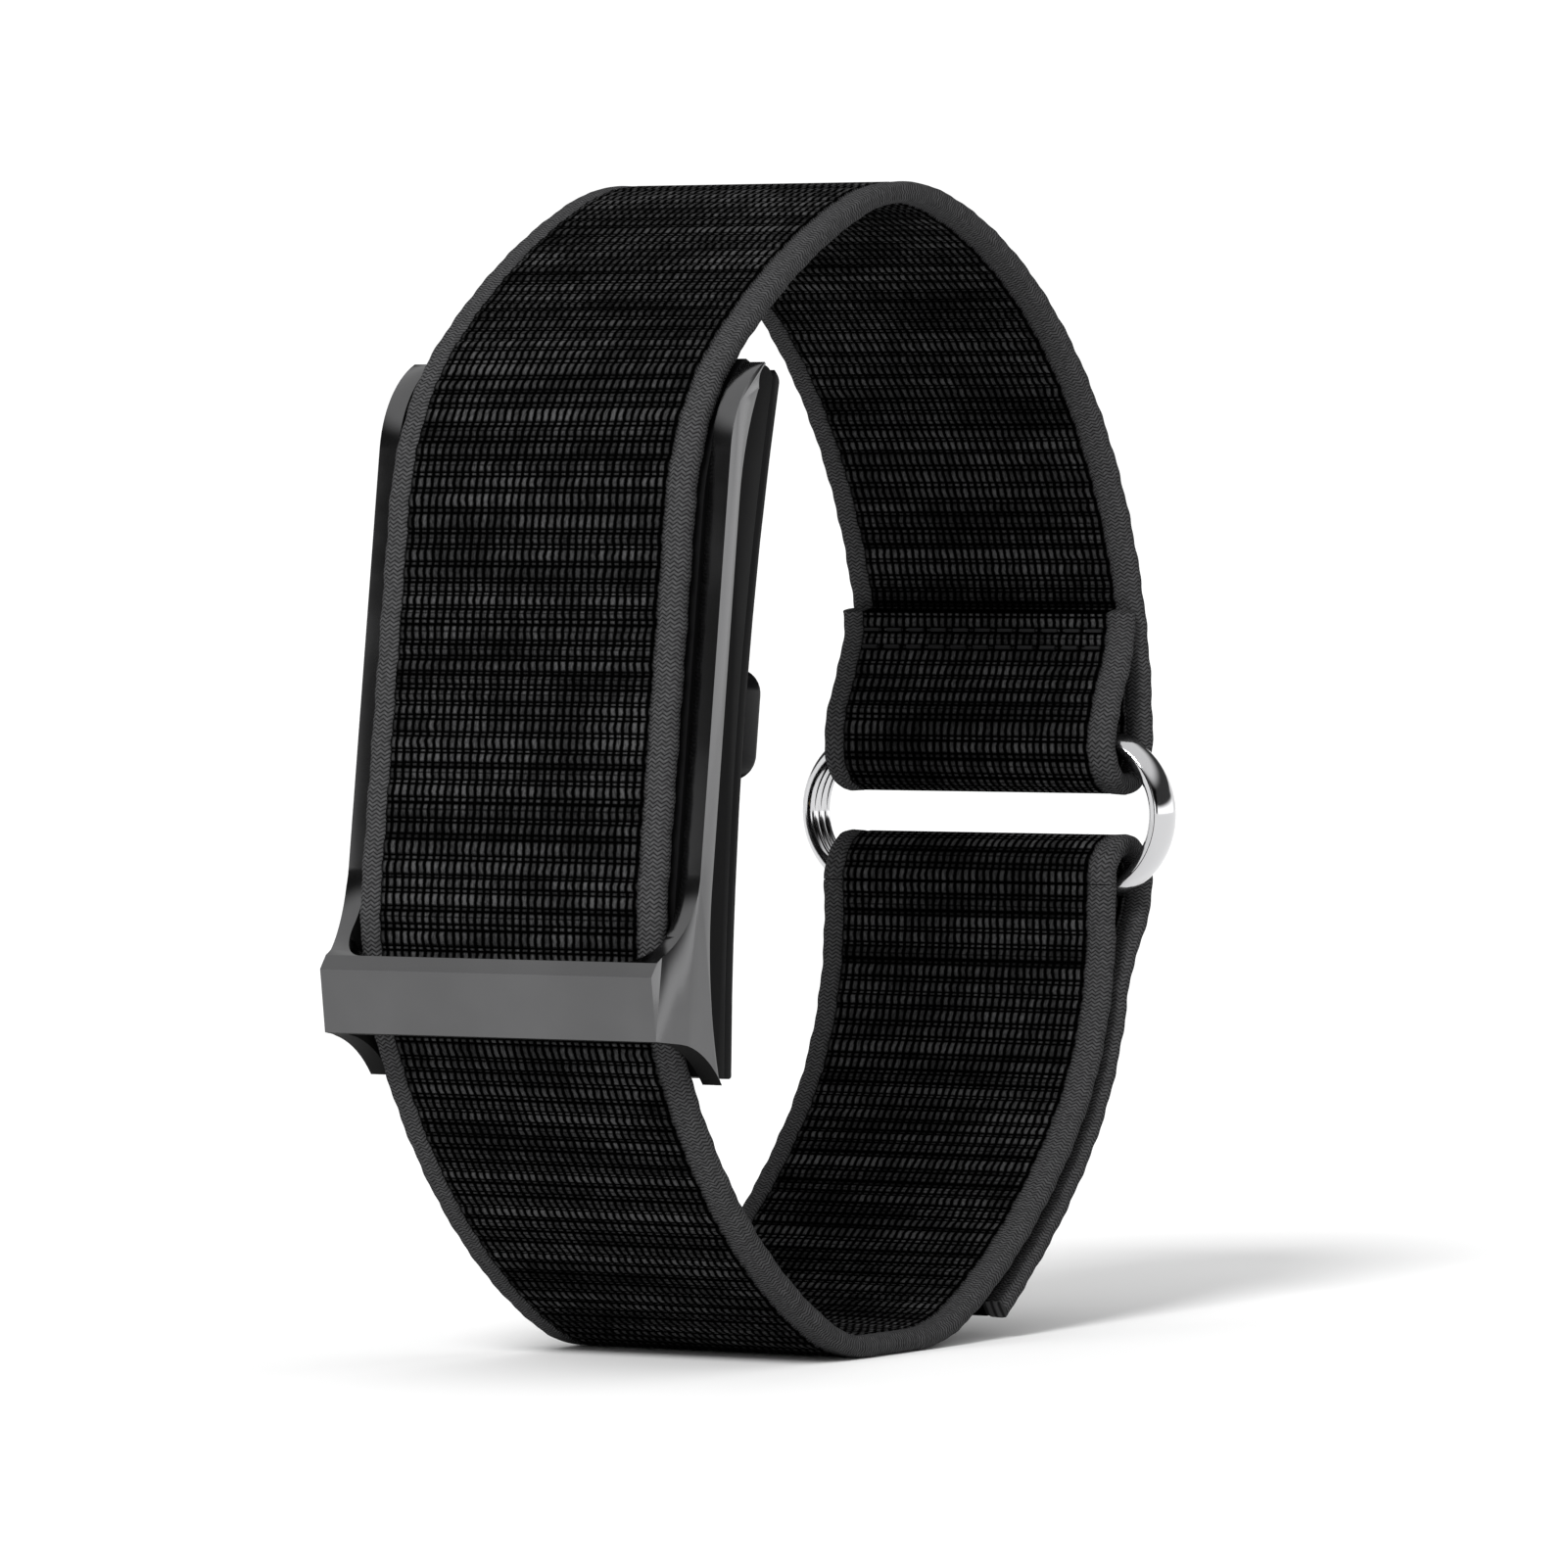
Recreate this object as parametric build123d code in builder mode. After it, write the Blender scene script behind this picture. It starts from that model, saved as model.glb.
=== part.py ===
from build123d import *
import os
from math import cos, radians, sin, sqrt

# Screenless fitness tracker band, standing on the underside of its closed loop.
# +X runs across the strap, -Y is the tracker pod's side, +Z is up.
# The origin is the middle of the small flat on which the loop rests. Millimetres.

os.makedirs("parts", exist_ok=True)

# ---------------------------------------------------------------- driving sizes
STRAP_WIDTH = 22.0
STRAP_THICK = 1.4
REST_FLAT = 6.0                # length of the strap that lies flat on the ground
LEAN = 8.0                     # degrees that the pod's top leans towards the wrist

# Loop profile, as tangent arcs (radius, sweep) of the strap's middle line
LOWER_FRONT_ARCS = [(12.5, 25.0), (40.5, 39.0), (18.0, 26.0 + LEAN)]
FRONT_RUN = 23.0               # straight stretch in front of the pod
OVER_TOP_ARCS = [(16.0, 42.0), (52.5, 20.0), (19.0, 34.0), (36.5, 84.0 - LEAN)]
LOWER_REAR_ARCS = [(15.0, 26.0), (45.0, 23.0)]

# Metal ring that joins the two ends of the strap
RING_HALF_WIDTH = 13.9
RING_RADIUS = 5.7              # outside radius of its two round ends
RING_WALL = 1.2
RING_DEPTH = 2.8
RING_ROUNDING = 0.5
FOLD_INNER_RADIUS = 1.9        # inside radius of the strap where it goes round the ring
FOLD_REACH = 4.6               # from the ring's middle up or down to a fold's middle

# Sewn flap and loose tail
FLAP_TOP_RISE = 8.9            # the flap's end above the upper fold's middle
TAIL_GAP = 0.9                 # between strap and tail, where the hook patch lies
TAIL_TIP_RUN = 5.0             # straight end of the tail, which stands off the curve
TAIL_JOIN = 12.0               # degrees past level where the tail meets the curve
TAIL_MIDDLE_SWEEP = 12.0
HOOK_WIDTH = 18.0
HOOK_THICK = 0.5
HOOK_FIRST_SWEEP = 12.0        # of the hook patch's upper arc
STITCH_LENGTH = 1.1
STITCH_PITCH = 1.7
STITCH_THICK = 0.2
STITCH_COUNT = 11              # stitches in a row
FLAP_ROWS = (0.84, 0.92)       # places of the rows, as parts of the path's length
TAIL_ROWS = (0.62, 0.88)

# Pod, in its own leaning frame: depth grows towards the wrist, rise runs up the pod
POD_ALONG_RUN = 10.7           # from the start of the front run up to the pod's middle
POD_GAP = 0.25                 # between the strap and the pod's front
POD_HALF_LENGTH = 22.6
POD_HALF_WIDTH = 12.4
POD_NECK_HALF_WIDTH = 11.1     # the part that stands between the clasp's arms
POD_DEPTH = 5.65               # at the middle of the pod
BACK_RADIUS = 170.0            # hollow curve of the wrist side
POD_LOW_END = -22.3
COVER_THICK = 0.6
COVER_HALF_WIDTH = 10.4
BACK_RIM = 1.8
BACK_WALL = 1.0
CAVITY_HALF_WIDTH = 9.8
CAVITY_LOW = -16.5
CAVITY_HIGH = 17.5
HINGE_DEPTH = 4.15             # the spring bar's place, which the clasp turns about
HINGE_RISE = 20.9

# Clasp frame
ARM_INNER = 11.4
ARM_OUTER = 12.8
ARM_DEPTH = 1.5
ARM_GAP = 0.2                  # between the arms and the pod's side flanges
ARM_STRAIGHT_LOW = -10.2       # the arms' straight stretch
ARM_STRAIGHT_HIGH = 16.3
ARM_TOP_RADIUS = 6.8           # the arms then curve back over the pod's top end
ARM_TOP_SWEEP = 60.0
EAR_RADIUS = 1.0
EAR_BACK = [(ARM_DEPTH, 13.5), (1.85, 17.0), (2.85, 20.4)]
EAR_OUTER = 12.0               # the ears are thinner than the arms, under the pod's caps
CAP_RADIUS = 1.2               # of the pod's round cap over each ear
CAP_INNER = 12.06
CAP_GAP = 0.1                  # between a cap and the arm that bends round it
EAR_SWING = 1.62               # room above the hinge for the arms' ends to turn in
SWING_FROM = 35.0              # degrees above the hinge's back to which that room reaches
EAR_GAP = 0.25                 # round the ears inside the pod
POD_TOP_CURVE = [(3.0, 22.6), (7.1, 20.3)]     # the pod's top end rounds off to the back
BAR_BACK = -1.25               # depth of the crossbar's inner face
BAR_HALF_FRONT = 12.0
BAR_TAPER_FROM = -0.1          # the clasp narrows towards the crossbar from this depth
BAR_TAPER_TO = -2.6
BAR_FRONT_TOP = (-3.7, -16.95)
BAR_FRONT_LOW = (-2.57, -20.8)
BAR_BEVEL_TOP = (-3.15, -16.0)
BAR_FOOT_START = (-0.8, -20.75)
WINDOW_CORNER = 2.0
FOOT_BACK = [(ARM_DEPTH, ARM_STRAIGHT_LOW), (2.0, -16.2), (3.9, -22.3)]
FOOT_TIP = (4.4, -22.8)
WINDOW_BOTTOM = -16.0

# Leaf springs in the pod's sides, which click into notches in the clasp's arms
NOTCH_RISE = -15.4
NOTCH_HALF = 0.7
CATCH_HALF_LENGTH = 2.4
CATCH_FROM = 1.75              # depths between which the leaves lie
CATCH_TO = 2.45
CATCH_POCKET_FROM = 10.55      # distances from the middle of the pocket behind a leaf
CATCH_POCKET_TO = 12.1

# Spring bar
BAR_TUBE_RADIUS = 0.85
BAR_BORE_RADIUS = 0.9          # of the hole through the pod
BAR_TUBE_HALF = 11.0
TIP_RADIUS = 0.45
TIP_HOLE_RADIUS = 0.5          # in the clasp's ears and in the tube's crimped ends
TIP_COLLAR_RADIUS = 0.56
TIP_SLEEVE_RADIUS = 0.6        # inside of the tube
TIP_END = 11.85
TIP_COLLAR_FROM = 9.6
TIP_COLLAR_TO = 10.4

# Sensor window, an oblong bump across the wrist side
WINDOW_LENGTH = 23.2
WINDOW_WIDTH = 7.0
WINDOW_PROUD = 2.8
WINDOW_WALL = 0.8

# Inside the pod: depths of the circuit boards, and places (across, rise)
BOARD_FROM = 3.5
BOARD_TO = 4.1
SENSOR_BOARD_FROM = 6.1
SENSOR_BOARD_TO = 6.5
BOSSES = [(x, rise) for x in (-8.8, 8.8) for rise in (-15.4, 16.4)]
BOSS_RADIUS = 1.1
SCREW_RADIUS = 0.5
SCREW_HEAD_RADIUS = 0.95
SCREW_LENGTH = 1.8
CONTACTS = [(x, -12.5) for x in (-3.0, 3.0)]
CONTACT_RADIUS = 0.9
GASKET_THICK = 0.7
GASKET_DEPTH = 0.5
BATTERY_RISE = -5.5
BATTERY_SIDE = 17.0
CHIP_PLACE = (-5.2, 9.0)
CHIP_SIDE = 5.0
CAN_SIDE = 7.2
CAN_WALL = 0.2
MOTOR_PLACE = (4.6, 8.6)
MOTOR_RADIUS = 3.9

HALF = STRAP_WIDTH / 2


# ------------------------------------------------------------------- the loop
def lay_arcs(start, heading, arcs, turn):
    """Lay tangent arcs end to end and return the last point and heading."""
    for radius, sweep in arcs:
        arc = JernArc(start, heading, radius, turn * sweep)
        start = arc @ 1
        heading = arc % 1
    return start, heading


STRAP_MIDDLE = STRAP_THICK / 2
FRONT_START = (-REST_FLAT / 2, STRAP_MIDDLE)
REAR_START = (REST_FLAT / 2, STRAP_MIDDLE)
FOLD_RADIUS = FOLD_INNER_RADIUS + STRAP_MIDDLE

with BuildLine() as front_path:
    Line(REAR_START, FRONT_START)
    run_start, run_heading = lay_arcs(FRONT_START, (-1, 0), LOWER_FRONT_ARCS, -1)
    front_run = Line(run_start, run_start + run_heading * FRONT_RUN)
    loop_end, _ = lay_arcs(front_run @ 1, run_heading, OVER_TOP_ARCS, -1)

RING_Y = loop_end.X - FOLD_RADIUS
RING_INNER_RADIUS = RING_RADIUS - RING_WALL
UPPER_FOLD_Z = loop_end.Y
RING_Z = UPPER_FOLD_Z - FOLD_REACH
LOWER_FOLD_Z = RING_Z - FOLD_REACH

with BuildLine() as rear_path:
    rear_point, rear_heading = lay_arcs(REAR_START, (1, 0), LOWER_REAR_ARCS, 1)
    # The last arc ends upright, in line with the ring's wrist side
    last_radius = (RING_Y - FOLD_RADIUS - rear_point.X) / (1 - rear_heading.Y)
    last_sweep = 90 - sum(sweep for _, sweep in LOWER_REAR_ARCS)
    rear_end, _ = lay_arcs(rear_point, rear_heading, [(last_radius, last_sweep)], 1)
    Line(rear_end, (RING_Y - FOLD_RADIUS, LOWER_FOLD_Z))

with BuildPart() as strap_band:
    with BuildSketch(Plane.YZ):
        trace(front_path.line.edges(), STRAP_THICK)
        trace(rear_path.line.edges(), STRAP_THICK)
    extrude(amount=HALF, both=True)

# The band's end goes round the ring's upper bar and is sewn down on the wrist side
over_radius = OVER_TOP_ARCS[-1][0]
flap_radius = over_radius - STRAP_THICK - 0.05
over_centre_y = loop_end.X - over_radius
flap_end = (
    over_centre_y + sqrt(flap_radius**2 - FLAP_TOP_RISE**2),
    UPPER_FOLD_Z + FLAP_TOP_RISE,
)
flap_heading = (-FLAP_TOP_RISE, sqrt(flap_radius**2 - FLAP_TOP_RISE**2))
with BuildLine() as flap_path:
    fold_arc = JernArc(loop_end, (0, -1), FOLD_RADIUS, -180)
    Spline(fold_arc @ 1, flap_end, tangents=[(0, 1), flap_heading])

with BuildPart() as upper_fold_flap:
    with BuildSketch(Plane.YZ):
        trace(flap_path.line.edges(), STRAP_THICK)
    extrude(amount=HALF, both=True)

with BuildPart() as lower_fold:
    with BuildSketch(Plane.YZ):
        with Locations((RING_Y, LOWER_FOLD_Z)):
            Circle(FOLD_INNER_RADIUS + STRAP_THICK)
            Circle(FOLD_INNER_RADIUS, mode=Mode.SUBTRACT)
            Rectangle(20, 20, align=(Align.CENTER, Align.MAX), mode=Mode.SUBTRACT)
    extrude(amount=HALF, both=True)

# The loose tail follows the band on the outside, one hook patch away from it
TAIL_OFFSET = STRAP_THICK + TAIL_GAP
last_centre = (RING_Y - FOLD_RADIUS - last_radius, rear_end.Y)
tail_radius = last_radius + TAIL_OFFSET
join_point = (
    last_centre[0] + tail_radius * cos(radians(TAIL_JOIN)),
    last_centre[1] - tail_radius * sin(radians(TAIL_JOIN)),
)
join_heading = Vector(-sin(radians(TAIL_JOIN)), -cos(radians(TAIL_JOIN)))
tail_arcs = [
    (tail_radius, last_sweep - TAIL_JOIN),
    (LOWER_REAR_ARCS[1][0] + TAIL_OFFSET, TAIL_MIDDLE_SWEEP),
]
with BuildLine() as tail_path:
    Spline(
        (RING_Y + FOLD_RADIUS, LOWER_FOLD_Z),
        join_point,
        tangents=[(0, -1), join_heading],
    )
    tip_start, tip_heading = lay_arcs(join_point, join_heading, tail_arcs, -1)
    Line(tip_start, tip_start + tip_heading * TAIL_TIP_RUN)

with BuildPart() as strap_tail:
    with BuildSketch(Plane.YZ):
        trace(tail_path.line.edges(), STRAP_THICK)
    extrude(amount=HALF, both=True)

HOOK_INSET = (STRAP_THICK + HOOK_THICK) / 2 + 0.02
hook_start_angle = radians(last_sweep - HOOK_FIRST_SWEEP)
hook_radius = tail_radius - HOOK_INSET
hook_start = (
    last_centre[0] + hook_radius * cos(hook_start_angle),
    last_centre[1] - hook_radius * sin(hook_start_angle),
)
hook_arcs = [
    (hook_radius, HOOK_FIRST_SWEEP),
    (LOWER_REAR_ARCS[1][0] + TAIL_OFFSET - HOOK_INSET, TAIL_MIDDLE_SWEEP),
]
with BuildLine() as hook_path:
    lay_arcs(hook_start, (-sin(hook_start_angle), -cos(hook_start_angle)), hook_arcs, -1)

with BuildPart() as hook_patch:
    with BuildSketch(Plane.YZ):
        trace(hook_path.line.edges(), HOOK_THICK)
    extrude(amount=HOOK_WIDTH / 2, both=True)

# Two rows of thread hold the flap, and one holds the hook patch
def surface_plane(path, fraction, side):
    """Plane on one face of a strap path, its x across the strap and z outwards."""
    point = path.position_at(fraction)
    along = path.tangent_at(fraction)
    outward = Vector(along.Y, -along.X) * side
    foot = point + outward * STRAP_MIDDLE
    return Plane(
        origin=(0, foot.X, foot.Y), x_dir=(1, 0, 0), z_dir=(0, outward.X, outward.Y)
    )


flap_wire = flap_path.wire()
with BuildPart() as flap_stitches:
    for row in FLAP_ROWS:
        with BuildSketch(surface_plane(flap_wire, row, -1)):
            with GridLocations(STITCH_PITCH, 1, STITCH_COUNT, 1):
                Rectangle(STITCH_LENGTH, STITCH_THICK)
        extrude(amount=STITCH_THICK)

tail_wire = tail_path.wire()
with BuildPart() as tail_stitches:
    for row in TAIL_ROWS:
        with BuildSketch(surface_plane(tail_wire, row, -1)):
            with GridLocations(STITCH_PITCH, 1, STITCH_COUNT, 1):
                Rectangle(STITCH_LENGTH, STITCH_THICK)
        extrude(amount=STITCH_THICK)

RING_PLANE = Plane(origin=(0, RING_Y, RING_Z), x_dir=(1, 0, 0), z_dir=(0, -1, 0))
with BuildPart() as ring:
    with BuildSketch(RING_PLANE):
        SlotOverall(2 * RING_HALF_WIDTH, 2 * RING_RADIUS)
        SlotOverall(
            2 * (RING_HALF_WIDTH - RING_WALL), 2 * RING_INNER_RADIUS, mode=Mode.SUBTRACT
        )
    extrude(amount=RING_DEPTH / 2, both=True)
    fillet(ring.edges(), radius=RING_ROUNDING)


# -------------------------------------------------------------------- the pod
lean = radians(LEAN)
inward = Vector(run_heading.Y, -run_heading.X)
pod_point = run_start + run_heading * POD_ALONG_RUN + inward * (STRAP_MIDDLE + POD_GAP)
POD_ORIGIN = (0, pod_point.X, pod_point.Y)
# SIDE has x = depth towards the wrist and y = rise. FACE has x across and y = rise.
SIDE = Plane(origin=POD_ORIGIN, x_dir=(0, cos(lean), -sin(lean)), z_dir=(1, 0, 0))
FACE = Plane(origin=POD_ORIGIN, x_dir=(1, 0, 0), z_dir=(0, -cos(lean), sin(lean)))

RUN_LOW = -POD_ALONG_RUN
RUN_HIGH = FRONT_RUN - POD_ALONG_RUN
LOW_BEND = LOWER_FRONT_ARCS[-1][0] - STRAP_MIDDLE - POD_GAP
HIGH_BEND = OVER_TOP_ARCS[0][0] - STRAP_MIDDLE - POD_GAP


def front_depth(rise):
    """Depth of the pod's front, which follows the strap round both ends."""
    if rise < RUN_LOW:
        return LOW_BEND - sqrt(LOW_BEND**2 - (RUN_LOW - rise) ** 2)
    if rise > RUN_HIGH:
        return HIGH_BEND - sqrt(HIGH_BEND**2 - (rise - RUN_HIGH) ** 2)
    return 0.0


def back_depth(rise):
    """Depth of the hollow wrist side."""
    return POD_DEPTH + BACK_RADIUS - sqrt(BACK_RADIUS**2 - rise**2)


def contour(depth, shift, low, high):
    """Draw one side of the pod's section between two rises."""
    if depth is back_depth:
        ThreePointArc(*[(depth(r) + shift, r) for r in (low, (low + high) / 2, high)])
        return
    for start, end in ((low, RUN_LOW), (RUN_HIGH, high)):
        ThreePointArc(*[(depth(r) + shift, r) for r in (start, (start + end) / 2, end)])
    Line((shift, RUN_LOW), (shift, RUN_HIGH))


def pod_section(near, near_shift, far, far_shift, low, high):
    """Add the face between two contours of the pod, cut off at two rises."""
    with BuildLine() as outline:
        contour(near, near_shift, low, high)
        contour(far, far_shift, low, high)
        for rise in (low, high):
            Line((near(rise) + near_shift, rise), (far(rise) + far_shift, rise))
    make_face(outline.line.edges())


# PLAN looks along the pod, with x across and y = depth
PLAN = Plane(origin=POD_ORIGIN, x_dir=(1, 0, 0), z_dir=(0, sin(lean), cos(lean)))
REACH = 30.0                   # past every part of the pod
HINGE_POINT = (HINGE_DEPTH, HINGE_RISE)
EAR_END = (HINGE_DEPTH + EAR_RADIUS, HINGE_RISE)
SIDES = (1, -1)


def side_slice(side, from_x):
    """Plane of a pod section at a distance from the middle, facing outwards."""
    return SIDE.offset(side * from_x)


def arm_space(capped):
    """Everything in front of the clasp's arms' back edge, with room to turn."""
    with BuildLine() as edge:
        low_edge = ThreePointArc(*[(depth + ARM_GAP, rise) for depth, rise in FOOT_BACK])
        top_edge = ThreePointArc(*[(depth + ARM_GAP, rise) for depth, rise in EAR_BACK])
        Line(low_edge @ 0, top_edge @ 0)
        Polyline(
            top_edge @ 1,
            ((top_edge @ 1).X, REACH),
            (-REACH, REACH),
            (-REACH, -REACH),
            ((low_edge @ 1).X, -REACH),
            low_edge @ 1,
        )
    make_face(edge.line.edges())
    with BuildLine() as swing:
        over = CenterArc(HINGE_POINT, EAR_SWING, SWING_FROM, 180 - SWING_FROM)
        Polyline(over @ 1, HINGE_POINT, over @ 0)
    make_face(swing.line.edges())
    with Locations(HINGE_POINT):
        if capped:
            Circle(CAP_RADIUS, mode=Mode.SUBTRACT)
        else:
            Circle(EAR_RADIUS + EAR_GAP)


def arm_layers():
    """The two layers of each side's arm room: the ear's slot, then round its cap."""
    return [
        (side, near, far, capped)
        for side in SIDES
        for near, far, capped in (
            (POD_NECK_HALF_WIDTH, CAP_INNER, False),
            (CAP_INNER, POD_NECK_HALF_WIDTH + 3, True),
        )
    ]


def top_trim():
    """Everything past the rounded top end of the pod."""
    with BuildLine() as edge:
        curve = TangentArc(*POD_TOP_CURVE, tangent=(1, 0))
        Polyline(curve @ 1, (REACH, (curve @ 1).Y), (REACH, REACH), ((curve @ 0).X, REACH), curve @ 0)
    make_face(edge.line.edges())


with BuildPart() as front_cover:
    with BuildSketch(SIDE):
        pod_section(front_depth, 0, front_depth, COVER_THICK, -20.5, 19.5)
    extrude(amount=COVER_HALF_WIDTH, both=True)

def gasket_ring():
    """The closed strip round the pod's cavity in which the seal lies."""
    Rectangle(2 * CAVITY_HALF_WIDTH + 2.0, CAVITY_HIGH - CAVITY_LOW + 2.0)
    Rectangle(
        2 * (CAVITY_HALF_WIDTH + 1.0 - GASKET_THICK),
        CAVITY_HIGH - CAVITY_LOW + 2.0 - 2 * GASKET_THICK,
        mode=Mode.SUBTRACT,
    )


with BuildPart() as mid_frame:
    with BuildSketch(SIDE):
        pod_section(front_depth, 0, back_depth, -BACK_RIM, POD_LOW_END, POD_HALF_LENGTH)
    extrude(amount=POD_HALF_WIDTH, both=True)
    for side, near, far, capped in arm_layers():
        with BuildSketch(side_slice(side, near)):
            arm_space(capped)
        extrude(amount=side * (far - near), mode=Mode.SUBTRACT)
    with BuildSketch(SIDE):
        top_trim()
    extrude(amount=REACH, both=True, mode=Mode.SUBTRACT)
    with BuildSketch(SIDE):
        pod_section(front_depth, -1, front_depth, COVER_THICK, -20.5, 19.5)
    extrude(amount=COVER_HALF_WIDTH, both=True, mode=Mode.SUBTRACT)
    with BuildSketch(SIDE):
        pod_section(front_depth, 0, back_depth, 0, CAVITY_LOW, CAVITY_HIGH)
    extrude(amount=CAVITY_HALF_WIDTH, both=True, mode=Mode.SUBTRACT)
    with BuildSketch(FACE.offset(-BOARD_FROM)):
        with Locations(*BOSSES):
            Circle(BOSS_RADIUS)
    extrude(amount=SCREW_LENGTH)
    with BuildSketch(FACE.offset(-BOARD_FROM)):
        with Locations(*BOSSES):
            Circle(SCREW_RADIUS)
    extrude(amount=SCREW_LENGTH - 0.3, mode=Mode.SUBTRACT)
    with BuildSketch(SIDE):
        with Locations(HINGE_POINT):
            Circle(BAR_BORE_RADIUS)
    extrude(amount=POD_NECK_HALF_WIDTH, both=True, mode=Mode.SUBTRACT)
    # Groove for the seal, then pockets in which the catch springs give way
    with BuildSketch(FACE.offset(-REACH)):
        with Locations((0, (CAVITY_HIGH + CAVITY_LOW) / 2)):
            gasket_ring()
    gasket_groove = extrude(amount=REACH, mode=Mode.PRIVATE)
    with BuildSketch(SIDE):
        pod_section(back_depth, -BACK_RIM - GASKET_DEPTH, back_depth, -BACK_RIM, -21, 21)
    groove_layer = extrude(amount=POD_HALF_WIDTH, both=True, mode=Mode.PRIVATE)
    add(gasket_groove & groove_layer, mode=Mode.SUBTRACT)
    for side in SIDES:
        with BuildSketch(FACE.offset(-CATCH_TO)):
            with Locations((side * (CATCH_POCKET_FROM + CATCH_POCKET_TO) / 2, NOTCH_RISE)):
                Rectangle(CATCH_POCKET_TO - CATCH_POCKET_FROM, 2 * CATCH_HALF_LENGTH + 0.2)
        extrude(amount=CATCH_TO - CATCH_FROM + 0.1, mode=Mode.SUBTRACT)


with BuildPart() as back_gasket:
    with BuildSketch(SIDE):
        pod_section(back_depth, -BACK_RIM - GASKET_DEPTH, back_depth, -BACK_RIM, -21, 21)
    extrude(amount=POD_HALF_WIDTH, both=True)
    with BuildSketch(FACE):
        with Locations((0, (CAVITY_HIGH + CAVITY_LOW) / 2)):
            gasket_ring()
    extrude(amount=-REACH, mode=Mode.INTERSECT)

with BuildPart() as back_cover:
    with BuildSketch(SIDE):
        pod_section(back_depth, -BACK_RIM, back_depth, 0, POD_LOW_END, POD_HALF_LENGTH)
    extrude(amount=POD_HALF_WIDTH, both=True)
    hollow_faces = back_cover.faces().filter_by(GeomType.CYLINDER)
    back_face = hollow_faces.sort_by(Axis((0, 0, 0), SIDE.x_dir))[-1]
    fillet(back_face.edges(), radius=1.3)
    for side, near, far, capped in arm_layers():
        with BuildSketch(side_slice(side, near)):
            arm_space(capped)
        extrude(amount=side * (far - near), mode=Mode.SUBTRACT)
    with BuildSketch(SIDE):
        top_trim()
    extrude(amount=REACH, both=True, mode=Mode.SUBTRACT)
    with BuildSketch(SIDE):
        pod_section(back_depth, -BACK_RIM - 1, back_depth, -BACK_WALL, CAVITY_LOW, CAVITY_HIGH)
    extrude(amount=CAVITY_HALF_WIDTH, both=True, mode=Mode.SUBTRACT)
    with BuildSketch(FACE):
        SlotOverall(WINDOW_LENGTH - 1.4, WINDOW_WIDTH - 1.4)
        with Locations(*CONTACTS):
            Circle(CONTACT_RADIUS)
    extrude(amount=-REACH, mode=Mode.SUBTRACT)

WINDOW_FACE = POD_DEPTH + WINDOW_PROUD
with BuildPart() as sensor_window:
    with BuildSketch(FACE.offset(-WINDOW_FACE)):
        RectangleRounded(WINDOW_LENGTH, WINDOW_WIDTH, 1.6)
    extrude(amount=WINDOW_PROUD)
    window_top = sensor_window.faces().sort_by(Axis((0, 0, 0), SIDE.x_dir))[-1]
    fillet(window_top.edges(), radius=0.9)
    with BuildSketch(SIDE):
        pod_section(back_depth, -REACH, back_depth, 0, -REACH, REACH)
    extrude(amount=POD_HALF_WIDTH, both=True, mode=Mode.SUBTRACT)
    with BuildSketch(FACE.offset(-(POD_DEPTH - BACK_WALL))):
        SlotOverall(WINDOW_LENGTH - 1.5, WINDOW_WIDTH - 1.5)
    extrude(amount=-BACK_WALL - 0.5)
    with BuildSketch(FACE.offset(-(POD_DEPTH - BACK_WALL))):
        SlotOverall(WINDOW_LENGTH - 2.8, WINDOW_WIDTH - 2.8)
    extrude(amount=-(WINDOW_FACE - WINDOW_WALL - POD_DEPTH + BACK_WALL), mode=Mode.SUBTRACT)


def plate(near, far, width, height, x=0.0, rise=0.0):
    """Add a block between two depths, centred at x and rise on the pod."""
    with BuildSketch(FACE.offset(-far)) as outline:
        with Locations((x, rise)):
            Rectangle(width, height)
    extrude(outline.sketch, amount=far - near)


with BuildPart() as battery_cell:
    plate(1.45, 3.2, BATTERY_SIDE, BATTERY_SIDE, rise=BATTERY_RISE)

with BuildPart() as battery_foam:
    plate(3.25, 3.45, BATTERY_SIDE - 2, BATTERY_SIDE - 2, rise=BATTERY_RISE)

with BuildPart() as main_board:
    plate(BOARD_FROM, BOARD_TO, 19.2, 33.6, rise=0.5)
    with BuildSketch(FACE):
        with Locations(*BOSSES):
            Circle(SCREW_RADIUS + 0.1)
    extrude(amount=-REACH, mode=Mode.SUBTRACT)

with BuildPart() as processor_chip:
    plate(2.75, BOARD_FROM, CHIP_SIDE, CHIP_SIDE, *CHIP_PLACE)

with BuildPart() as shield_can:
    plate(2.35, BOARD_FROM, CAN_SIDE, CAN_SIDE, *CHIP_PLACE)
    with BuildSketch(FACE.offset(-BOARD_FROM)):
        with Locations(CHIP_PLACE):
            Rectangle(CAN_SIDE - 2 * CAN_WALL, CAN_SIDE - 2 * CAN_WALL)
    extrude(amount=BOARD_FROM - 2.35 - CAN_WALL, mode=Mode.SUBTRACT)

with BuildPart() as motion_sensor:
    plate(2.8, BOARD_FROM, 2.5, 2.5, x=-0.2, rise=14.4)

with BuildPart() as antenna:
    plate(2.6, BOARD_FROM, 5.0, 1.6, x=4.4, rise=16.0)

with BuildPart() as vibration_motor:
    with BuildSketch(FACE.offset(-3.3)):
        with Locations(MOTOR_PLACE):
            Circle(MOTOR_RADIUS)
    extrude(amount=2.3)
    fillet(vibration_motor.edges(), radius=0.3)

with BuildPart() as motor_pad:
    with BuildSketch(FACE.offset(-3.48)):
        with Locations(MOTOR_PLACE):
            Circle(MOTOR_RADIUS - 0.4)
    extrude(amount=0.16)

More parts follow.
